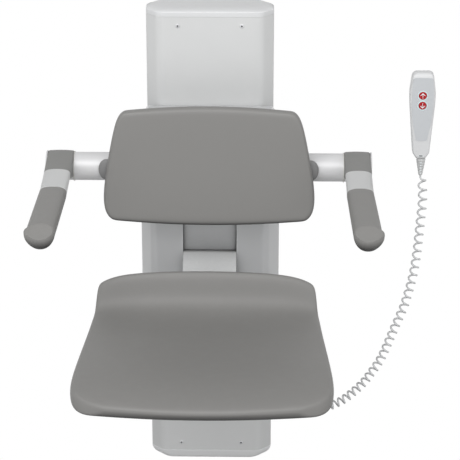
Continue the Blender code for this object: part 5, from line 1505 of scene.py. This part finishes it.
@dataclass
class ColumnShell:
    """The column's cover, its two end caps and the cover's four screws, with painted shade in the screws' sockets."""

    half_width: float = 0.125
    rear: float = 0.040
    front: float = 0.112
    rear_chamfer: float = 0.026
    front_chamfer: float = 0.024
    front_radius: float = 0.024
    side_radius: float = 0.008
    wall: float = 0.0025
    cover_span: Pair = (-0.6827, 0.2757)
    top_span: Pair = (0.2760, 0.2900)
    bottom_span: Pair = (-0.7080, -0.6830)
    top_rounding: Pair = (0.022, 0.0060)
    bottom_taper: float = 0.010
    bottom_side: float = 0.026
    bottom_rounding: float = 0.006
    screw_across: float = 0.0625
    screw_heights: Pair = (0.2577, -0.6647)
    screw_radius: float = 0.0040
    socket: float = 0.0019

    def outline(self) -> list[Pair]:
        """Outline of the column from above, from its right rear edge round the front to the left one.

        Returns:
            (x, depth) points.
        """
        right = [(self.half_width - self.rear_chamfer, self.rear, 0.0),
                 (self.half_width, self.rear + self.rear_chamfer, 0.0),
                 (self.half_width, self.front - self.front_chamfer, self.side_radius),
                 (self.half_width - self.front_chamfer, self.front, self.front_radius)]
        return rounded(mirrored(right), 8)

    def cover(self) -> bpy.types.Mesh:
        """Make the pressed shell, open to the wall.

        Returns:
            The mesh.
        """
        outer = self.outline()
        inner = drawn_in(outer, self.wall)
        inner[0] = (inner[0][0], self.rear)
        inner[-1] = (inner[-1][0], self.rear)
        section = [*outer, *reversed(inner)]
        return lofted("cover_shell", [[(x, -deep, z) for x, deep in section] for z in self.cover_span])

    def cap(self, name: str, rows: Sequence[tuple[float, float, float]]) -> bpy.types.Mesh:
        """Make an end cap from sections.

        Args:
            name: the mesh's name.
            rows: (height, inset at the sides, inset in front) rows.

        Returns:
            The mesh.
        """
        deep = self.front - self.rear
        rings = []
        for height, side, ahead in rows:
            rings.append([(x * (1.0 - side / self.half_width), -self.rear - (depth - self.rear) * (1.0 - ahead / deep),
                           height) for x, depth in self.outline()])
        return lofted(name, rings)

    def screw(self, name: str, x: float, z: float) -> bpy.types.Mesh:
        """Make a button-head screw with a hexagonal socket.

        Args:
            name: the mesh's name.
            x: its place across.
            z: its height.

        Returns:
            The mesh.
        """
        steps = 48
        across = []
        for step in range(steps):
            turn = (2.0 * math.pi * step / steps) % (math.pi / 3) - math.pi / 6
            across.append(self.socket / math.cos(turn))
        round_rows = [(self.screw_radius * 0.80, 0.0018), (self.screw_radius * 0.93, 0.0014),
                      (self.screw_radius, 0.0008), (self.screw_radius, -0.0010)]
        rings = []
        rows = [(across, 0.0002), (across, 0.0019)] + [([radius] * steps, out) for radius, out in round_rows]
        for radii, out in rows:
            rings.append([(x + radius * math.cos(2.0 * math.pi * step / steps), -self.front - out,
                           z + radius * math.sin(2.0 * math.pi * step / steps)) for step, radius in enumerate(radii)])
        return lofted(name, rings)

    def build(self, shop: Workshop) -> None:
        """Build the column's outer pieces.

        Args:
            shop: the workshop.
        """
        shop.level(shop.fit("cover_shell", self.cover(), "white_paint", "column", ["column_cover"]))
        low, high = self.top_span
        deep, tall = self.top_rounding
        rows = [(low, 0.0, 0.0)]
        for cosine, sine in quarter(12):
            drawn = deep * (1.0 - cosine)
            rows.append((high - tall + tall * sine, drawn * 0.8, drawn))
        shop.level(shop.fit("top_end_cap", self.cap("top_end_cap", rows), "cap_white", "column", ["top_cap"]))
        # The bottom cap takes a white painted lighter than the top cap's, as painted light.
        low, high = self.bottom_span
        start = high - 0.001
        rows = [(high, 0.0, 0.0), (start, 0.0, 0.0)]
        for cosine, sine in quarter(20, 1):
            ahead = self.bottom_taper * sine + self.bottom_rounding * (1.0 - cosine) ** 2
            rows.append((start - (start - low) * sine, self.bottom_side * (1.0 - cosine), ahead))
        shop.level(shop.fit("bottom_end_cap", self.cap("bottom_end_cap", rows), "cap_grey", "column",
                            ["bottom_cap"]))
        number = 0
        for z in self.screw_heights:
            for sign in (-1.0, 1.0):
                number += 1
                name = "socket_screw_%d" % number
                shop.fit(name, self.screw(name, sign * self.screw_across, z), "zinc_steel", "column",
                         ["cover_screw_%d" % number])
                # Painted shade: a dark disc at the foot of each socket stands for the shade in it.
                socket_shade = turned("socket_shade", [(self.socket * 1.02, 0.0), (self.socket * 1.02, -0.0002)],
                              (sign * self.screw_across, -self.front - 0.0003, z), "y", 24)
                shop.fit("screw_socket_%d" % number, socket_shade, "slot_dark", "column")


# Seat, backrest and grips

@dataclass
class SeatCushion:
    """The seat's pad of moulded foam with its raised rear lip."""

    hinge_depth: float = 0.268
    hinge_height: float = -0.232
    drop: float = 0.048
    above: tuple[Pair, ...] = (
        (0.0205, 0.0370), (0.0290, 0.0555), (0.0430, 0.0500), (0.0530, 0.0000), (0.0850, -0.0140),
        (0.1300, -0.0195), (0.2520, -0.0155), (0.3620, -0.0105), (0.4220, -0.0138), (0.4580, -0.0186),
        (0.4700, -0.0225))
    below: tuple[Pair, ...] = (
        (0.0220, 0.0240), (0.0250, 0.0080), (0.0340, -0.0120), (0.0540, -0.0340), (0.0940, -0.0470),
        (0.1470, -0.0480), (0.2520, -0.0480), (0.3620, -0.0480), (0.4220, -0.0480),
        (0.4500, -0.0480), (0.4640, -0.0410))
    half_widths: tuple[Pair, ...] = (
        (0.0205, 0.2040), (0.0300, 0.2120), (0.0620, 0.2195), (0.1060, 0.2230), (0.1470, 0.2245),
        (0.2030, 0.2300), (0.3050, 0.2395), (0.3820, 0.2435), (0.4220, 0.2385), (0.4510, 0.2160),
        (0.4685, 0.1740))
    across: tuple[float, ...] = (-1.0, -0.955, -0.80, -0.45, 0.0, 0.45, 0.80, 0.955, 1.0)
    front_bow: float = 0.020
    middle: float = -0.0030
    edge_roll: float = 0.003
    lip_fall: float = 0.011
    lip_corner: float = 0.026
    lip_length: float = 0.085

    def place(self, i: int, j: int, k: int) -> Point:
        """Place one point of the cushion's cage.

        Args:
            i: step across.
            j: step from the front to the rear.
            k: 0 below, 1 above.

        Returns:
            The point.
        """
        station = len(self.above) - 1 - j
        depth, height = (self.below, self.above)[k][station]
        across = self.across[i]
        half_width = between(self.half_widths, depth)
        lip = max(0.0, 1.0 - (self.above[station][0] - self.above[0][0]) / self.lip_length)
        height -= lip * (self.lip_fall * across ** 2 + self.lip_corner * across ** 10)
        if k:
            height -= (1.0 - lip) * self.edge_roll * across ** 8
        flat_end = self.above[6][0]
        front = max(0.0, (depth - flat_end) / (self.above[-1][0] - flat_end))
        depth -= self.front_bow * front ** 2 * across ** 2
        return (self.middle + across * half_width, -self.hinge_depth - depth,
                self.hinge_height + max(height, -self.drop))

    def build(self, shop: Workshop) -> None:
        """Build the cushion.

        Args:
            shop: the workshop.
        """
        counts = (len(self.across) - 1, len(self.above) - 1, 1)
        piece = shop.fit("seat_cushion", caged("seat_cushion", counts, self.place), "grey_foam", "seat",
                         ["seat_pad"])
        shop.soften(piece, 3)


@dataclass
class BackCushion:
    """The backrest's pad of moulded foam."""

    rear: float = 0.2483
    thickness: float = 0.022
    crown: float = 0.0016
    bow: float = 0.010
    half_widths: tuple[Pair, ...] = (
        (-0.0995, 0.1854), (-0.084, 0.2024), (-0.040, 0.2064), (0.025, 0.1969), (0.085, 0.1864),
        (0.134, 0.1759), (0.147, 0.1614))
    middle: float = 0.0014
    across: tuple[float, ...] = (-1.0, -0.94, -0.6, -0.2, 0.2, 0.6, 0.94, 1.0)

    def place(self, i: int, j: int, k: int) -> Point:
        """Place one point of the cushion's cage.

        Args:
            i: step across.
            j: 0 in front, 1 behind.
            k: step up.

        Returns:
            The point.
        """
        low, high = self.half_widths[0][0], self.half_widths[-1][0]
        across = self.across[i]
        height, half_width = self.half_widths[k]
        up = (height - (high + low) / 2) / ((high - low) / 2)
        edge = 1.0 - max(abs(across), abs(up)) ** 6
        depth = self.rear + (self.thickness + self.crown * edge if j == 0 else 0.0)
        return (self.middle + across * half_width, -depth, height - self.bow * up * abs(up) * across * across)

    def build(self, shop: Workshop) -> None:
        """Build the cushion.

        Args:
            shop: the workshop.
        """
        counts = (len(self.across) - 1, 1, len(self.half_widths) - 1)
        piece = shop.fit("back_cushion", caged("back_cushion", counts, self.place), "grey_foam", "carriage",
                         ["backrest_pad"])
        shop.soften(piece, 3)


@dataclass
class Armrest:
    """One folding armrest: its hub, light section and foam grip."""

    side: str
    sign: float
    spacing: float = 0.576
    crossbar_depth: float = 0.204
    hub_width: float = 0.051
    hub_radius: float = 0.0313
    hub_front: float = 0.294
    barrel_edge: float = 0.0035
    hub_crown: float = 0.0012
    bore: float = 0.0281
    wrap: Pair = (214.0, -20.0)
    beam_depths: Pair = (0.2943, 0.3838)
    beam_half: float = 0.0252
    beam_middle: Pair = (0.0215, 0.0205)
    beam_rise: Pair = (0.0095, 0.0125)
    beam_fall: Pair = (0.0310, 0.0300)
    powers: Pair = (2.5, 2.15)
    grip_rear: float = 0.3841
    grip_tip: float = 0.5900
    grip_half: tuple[Pair, ...] = ((0.3841, 0.0254), (0.50, 0.0260), (0.60, 0.0262))
    grip_middle: float = 0.0205
    grip_top: float = 0.0332
    grip_low: float = -0.0105
    splay: float = 0.008
    facet_start: float = 0.5555
    tip_height: float = 0.0160
    nose_length: float = 0.0280
    ear: float = 0.0045
    ear_span: Pair = (0.5585, 0.5880)
    ear_ease: Pair = (0.009, 0.014)
    plain_end: float = 0.545

    def middle_x(self) -> float:
        """Distance of the armrest's middle from the column's middle."""
        return self.sign * self.spacing / 2

    @staticmethod
    def edge_inset(across: float, half: float, radius: float) -> float:
        """How far an edge that is rounded with a radius is drawn in at a place across.

        Args:
            across: the place across.
            half: half the width.
            radius: the rounding.

        Returns:
            The inset.
        """
        reach = max(0.0, abs(across) - (half - radius))
        return radius - math.sqrt(max(0.0, radius ** 2 - reach ** 2))

    def hub_outline(self, across: float) -> list[Pair]:
        """Outline of the hub from the side, at a place across it: a hood that clips over the crossbar.

        Args:
            across: the place, from the hub's middle.

        Returns:
            (forward, up) points from the crossbar's middle.
        """
        half = self.hub_width / 2
        crown = self.hub_crown * (across / half) ** 2
        barrel = self.hub_radius - crown - self.edge_inset(across, half, self.barrel_edge)
        front = self.hub_front - self.crossbar_depth - self.edge_inset(across, half, 0.0006)
        full = max(0.0, 1.0 - min(1.0, abs(across) / (half * 1.004)) ** self.powers[0]) ** (1.0 / self.powers[0])
        fuller = max(0.0, 1.0 - min(1.0, abs(across) / (half * 1.004)) ** self.powers[1]) ** (1.0 / self.powers[1])
        nose_top = self.beam_middle[0] + self.beam_rise[0] * full
        nose_low = self.beam_middle[0] - self.beam_fall[0] * fuller
        outline: list[Pair] = []
        for step in range(17):
            share = 1.0 - step / 16
            ease = smooth_step(share) ** 1.6
            outline.append((front * share, barrel * (1.0 - ease) + nose_top * ease))
        for angle in range(94, int(self.wrap[0]) + 1, 4):
            outline.append((barrel * math.cos(math.radians(angle)), barrel * math.sin(math.radians(angle))))
        for angle in range(int(self.wrap[0]), int(self.wrap[1]) - 1, -6):
            outline.append((self.bore * math.cos(math.radians(angle)), self.bore * math.sin(math.radians(angle))))
        last = outline[-1]
        for step in range(1, 15):
            share = step / 14
            ease = smooth_step(share)
            outline.append((last[0] + (front - last[0]) * share, last[1] * (1.0 - ease) + nose_low * ease))
        return outline

    def hub(self) -> bpy.types.Mesh:
        """Make the hub.

        Returns:
            The mesh.
        """
        half = self.hub_width / 2
        places = [-half * math.cos(math.pi * step / 40) for step in range(41)]
        rings = []
        for across in places:
            rings.append([(self.middle_x() + across, -self.crossbar_depth - forward, up)
                          for forward, up in self.hub_outline(across)])
        return lofted("armrest_hub_" + self.side, rings, False, 50.0)

    @staticmethod
    def section(half: float, rise: float, fall: float, powers: Pair = (2.5, 2.15), steps: int = 96) -> list[Pair]:
        """Cross-section of an arm: a low dome over a deeper, rounder underside.

        Args:
            half: half its width.
            rise: height of the dome over its widest line.
            fall: depth of the underside below that line.
            powers: how square the dome and the underside are, 2 being round.
            steps: points round it.

        Returns:
            (across, up) points, from one side over the top.
        """
        points = []
        for step in range(steps):
            angle = 2.0 * math.pi * step / steps
            power, height = (powers[0], rise) if math.sin(angle) >= 0.0 else (powers[1], fall)
            across = math.copysign(abs(math.cos(angle)) ** (2.0 / power), math.cos(angle)) * half
            up = math.copysign(abs(math.sin(angle)) ** (2.0 / power), math.sin(angle)) * height
            points.append((across, up))
        return points

    def beam(self) -> bpy.types.Mesh:
        """Make the light section between hub and grip.

        Returns:
            The mesh.
        """
        start, stop = self.beam_depths
        rings = []
        for depth, inset in ((start, 0.0004), (start + 0.0004, 0.0), (stop - 0.0004, 0.0), (stop, 0.0004)):
            share = (depth - start) / (stop - start)
            middle, rise, fall = (pair[0] + (pair[1] - pair[0]) * share
                                  for pair in (self.beam_middle, self.beam_rise, self.beam_fall))
            ring = self.section(self.beam_half - inset, rise - inset, fall - inset, self.powers)
            rings.append([(self.middle_x() + across, -depth, middle + up) for across, up in ring])
        return lofted("armrest_beam_" + self.side, rings)

    def grip_point(self, depth: float, across: float, up: float, flare: float) -> Point:
        """Place a point of the grip: cut by the facet above, flared at the ear.

        Args:
            depth: its depth.
            across: its place across the section.
            up: its height in the section.
            flare: how far the ear stands out at this depth.

        Returns:
            The point.
        """
        length = self.grip_tip - self.facet_start
        facet = self.grip_top - (self.grip_top - self.tip_height) * (depth - self.facet_start) / length
        sink = (self.grip_middle - self.tip_height) * smooth_step((depth - self.facet_start) / length)
        height = soft_lower(self.grip_middle - sink + up, facet, 0.0012)
        if across * self.sign > 0.0:
            lift = smooth_step((height + 0.012) / 0.026)
            across += self.sign * flare * lift * smooth_step(abs(across) / 0.020)
        along = (depth - self.grip_rear) / (self.grip_tip - self.grip_rear)
        return (self.middle_x() + across + self.sign * self.splay * along, -depth, height)

    def grip(self) -> bpy.types.Mesh:
        """Make the foam grip, whose front end has a sloping facet over a round nose.

        Returns:
            The mesh.
        """
        nose_start = self.grip_tip - self.nose_length
        depths = [self.grip_rear, self.grip_rear + 0.0006, self.grip_rear + 0.002]
        plain = self.grip_rear + 0.006
        depths += [plain + (self.plain_end - plain) * step / 20 for step in range(21)]
        depths += [self.plain_end + (nose_start - self.plain_end) * step / 18 for step in range(1, 19)]
        depths += [nose_start + self.nose_length * sine for _, sine in quarter(56, 1)]
        rings = []
        for depth in depths:
            rear_inset = 0.0008 * (1.0 - smooth_step((depth - self.grip_rear) / 0.002))
            reach = max(0.0, depth - nose_start) / self.nose_length
            nose = math.sqrt(max(0.0004, 1.0 - reach ** 2))
            half = between(self.grip_half, depth) * nose - rear_inset
            rise = self.grip_top - self.grip_middle - rear_inset
            fall = (self.grip_middle - self.grip_low) * nose - rear_inset
            flare = self.ear * smooth_step((depth - self.ear_span[0]) / self.ear_ease[0])
            flare *= smooth_step((self.ear_span[1] - depth) / self.ear_ease[1])
            rings.append([self.grip_point(depth, across, up, flare)
                          for across, up in self.section(half, rise, fall, self.powers, 120)])
        return lofted("armrest_grip_" + self.side, rings, False, 75.0)

    def bush(self) -> bpy.types.Mesh:
        """Make the thin bearing ring on the hub's inner side.

        Returns:
            The mesh.
        """
        inner = self.middle_x() - self.sign * self.hub_width / 2
        profile = [(self.bore - 0.0004, 0.0012), (self.bore - 0.0004, -0.0012), (self.bore + 0.0010, -0.0012),
                   (self.bore + 0.0010, -0.0002), (self.bore - 0.0002, -0.0002), (self.bore - 0.0002, 0.0012)]
        profile = [(radius, along * self.sign) for radius, along in profile]
        return turned("bush_" + self.side, profile, (inner, -self.crossbar_depth, 0.0), "x", 72, True)

    def build(self, shop: Workshop) -> None:
        """Build the armrest.

        Args:
            shop: the workshop.
        """
        body = "armrest_" + self.side
        shop.fit("bush_" + self.side, self.bush(), "bearing_plastic", body, ["armrest_bush_" + self.side])
        shop.fit("hub_" + self.side, self.hub(), "hub_paint", body, ["armrest_hub_" + self.side])
        shop.fit("light_section_" + self.side, self.beam(), "light_grey_plastic", body,
                 ["armrest_beam_" + self.side])
        piece = shop.fit("grip_" + self.side, self.grip(), "grey_foam", body, ["armrest_grip_" + self.side])


@dataclass
class Crossbar:
    """The round bar that carries the backrest and the armrests, its end caps and the backrest's carrier."""

    depth: float = 0.204
    radius: float = 0.0275
    wall: float = 0.0025
    half_length: float = 0.3135
    cap_radius: float = 0.0302
    cap_sheet: float = 0.0028
    carrier_depth: float = 0.240
    carrier_height: float = 0.008
    carrier_half: Point = (0.213, 0.008, 0.0212)
    carrier_dome: float = 0.015
    saddle_x: float = 0.080
    saddle_half: float = 0.020
    saddle_lip: float = 0.0318

    def carrier(self) -> bpy.types.Mesh:
        """Make the bar of oval section behind the backrest, with domed ends.

        Returns:
            The mesh.
        """
        long, thick, high = self.carrier_half
        straight = long - self.carrier_dome
        ends = [(straight + self.carrier_dome * sine, max(0.03, cosine)) for cosine, sine in quarter(14)]
        places = [(-x, size) for x, size in reversed(ends)] + ends
        rings = []
        for x, size in places:
            rings.append([(x, -self.carrier_depth - thick * size * math.cos(angle),
                           self.carrier_height + high * size * math.sin(angle))
                          for angle in (2.0 * math.pi * step / 64 for step in range(64))])
        return lofted("carrier_bar", rings)

    def saddle(self, name: str, x: float) -> bpy.types.Mesh:
        """Make one saddle between the crossbar and the carrier.

        Args:
            name: the mesh's name.
            x: its middle.

        Returns:
            The mesh.
        """
        lip, near, far = self.saddle_lip, self.depth + 0.0005, self.carrier_depth
        hollow = self.radius + 0.0003
        corners = [(near, -lip, 0.0), (far - 0.006, -lip, 0.004), (far, -lip + 0.010, 0.004),
                   (far, lip - 0.010, 0.004), (far - 0.006, lip, 0.004), (near, lip, 0.0)]
        outline = rounded(corners, 6)
        for step in range(25):
            angle = math.pi / 2 - math.pi * step / 24
            outline.append((self.depth + 0.0005 + hollow * math.cos(angle), hollow * math.sin(angle)))
        rings = []
        for across, inset in ((-self.saddle_half, 0.0008), (-self.saddle_half + 0.0008, 0.0),
                              (self.saddle_half - 0.0008, 0.0), (self.saddle_half, 0.0008)):
            rings.append([(x + across, -deep, up) for deep, up in drawn_in(outline, inset)])
        return lofted(name, rings)

    def build(self, shop: Workshop) -> None:
        """Build the bar, its caps and the carrier.

        Args:
            shop: the workshop.
        """
        inner = self.radius - self.wall
        half = self.half_length
        profile = [(inner, -half), (self.radius, -half), (self.radius, half), (inner, half)]
        centre = (0.0, -self.depth, 0.0)
        tube = turned("crossbar_tube", profile, centre, "x", 128, True)
        shop.fit("crossbar_tube", tube, "satin_aluminium", "carriage", ["crossbar"])
        shop.fit("carrier_bar", self.carrier(), "dark_plastic", "carriage", ["backrest_carrier"])
        for side, sign in (("left", -1.0), ("right", 1.0)):
            saddle = self.saddle("carrier_saddle_" + side, sign * self.saddle_x)
            shop.fit("carrier_saddle_" + side, saddle, "dark_plastic", "carriage")
            start = half + 0.0003
            rounding = 0.0014
            profile = [(inner - 0.0005, start - 0.012), (inner - 0.0005, start), (self.cap_radius, start)]
            profile += [(self.cap_radius - rounding * (1 - cosine), start + self.cap_sheet - rounding * (1 - sine))
                        for cosine, sine in quarter(5)]
            profile += [(self.cap_radius - 0.004, start + self.cap_sheet), (0.0, start + self.cap_sheet)]
            profile = [(radius, sign * along) for radius, along in profile]
            cap = turned("bar_end_" + side, profile, centre, "x", 72)
            shop.fit("bar_end_" + side, cap, "satin_aluminium", "carriage", ["crossbar_end_cap_" + side])


def main() -> None:
    """Build the studio and every piece, in the order in which a fitter would hang them."""
    logging.basicConfig(level=logging.INFO, format="%(name)s: %(message)s")
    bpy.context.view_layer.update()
    Studio().build()
    shop = Workshop()
    CurlyCord().build(shop)
    HandControl().build(shop)
    ColumnShell().build(shop)
    Crossbar().build(shop)
    BackCushion().build(shop)
    SeatCushion().build(shop)
    for side, sign in (("left", -1.0), ("right", 1.0)):
        Armrest(side, sign).build(shop)
    shop.dress_rest()
    log.info("all pieces are in place")


if __name__ == "__main__":
    main()
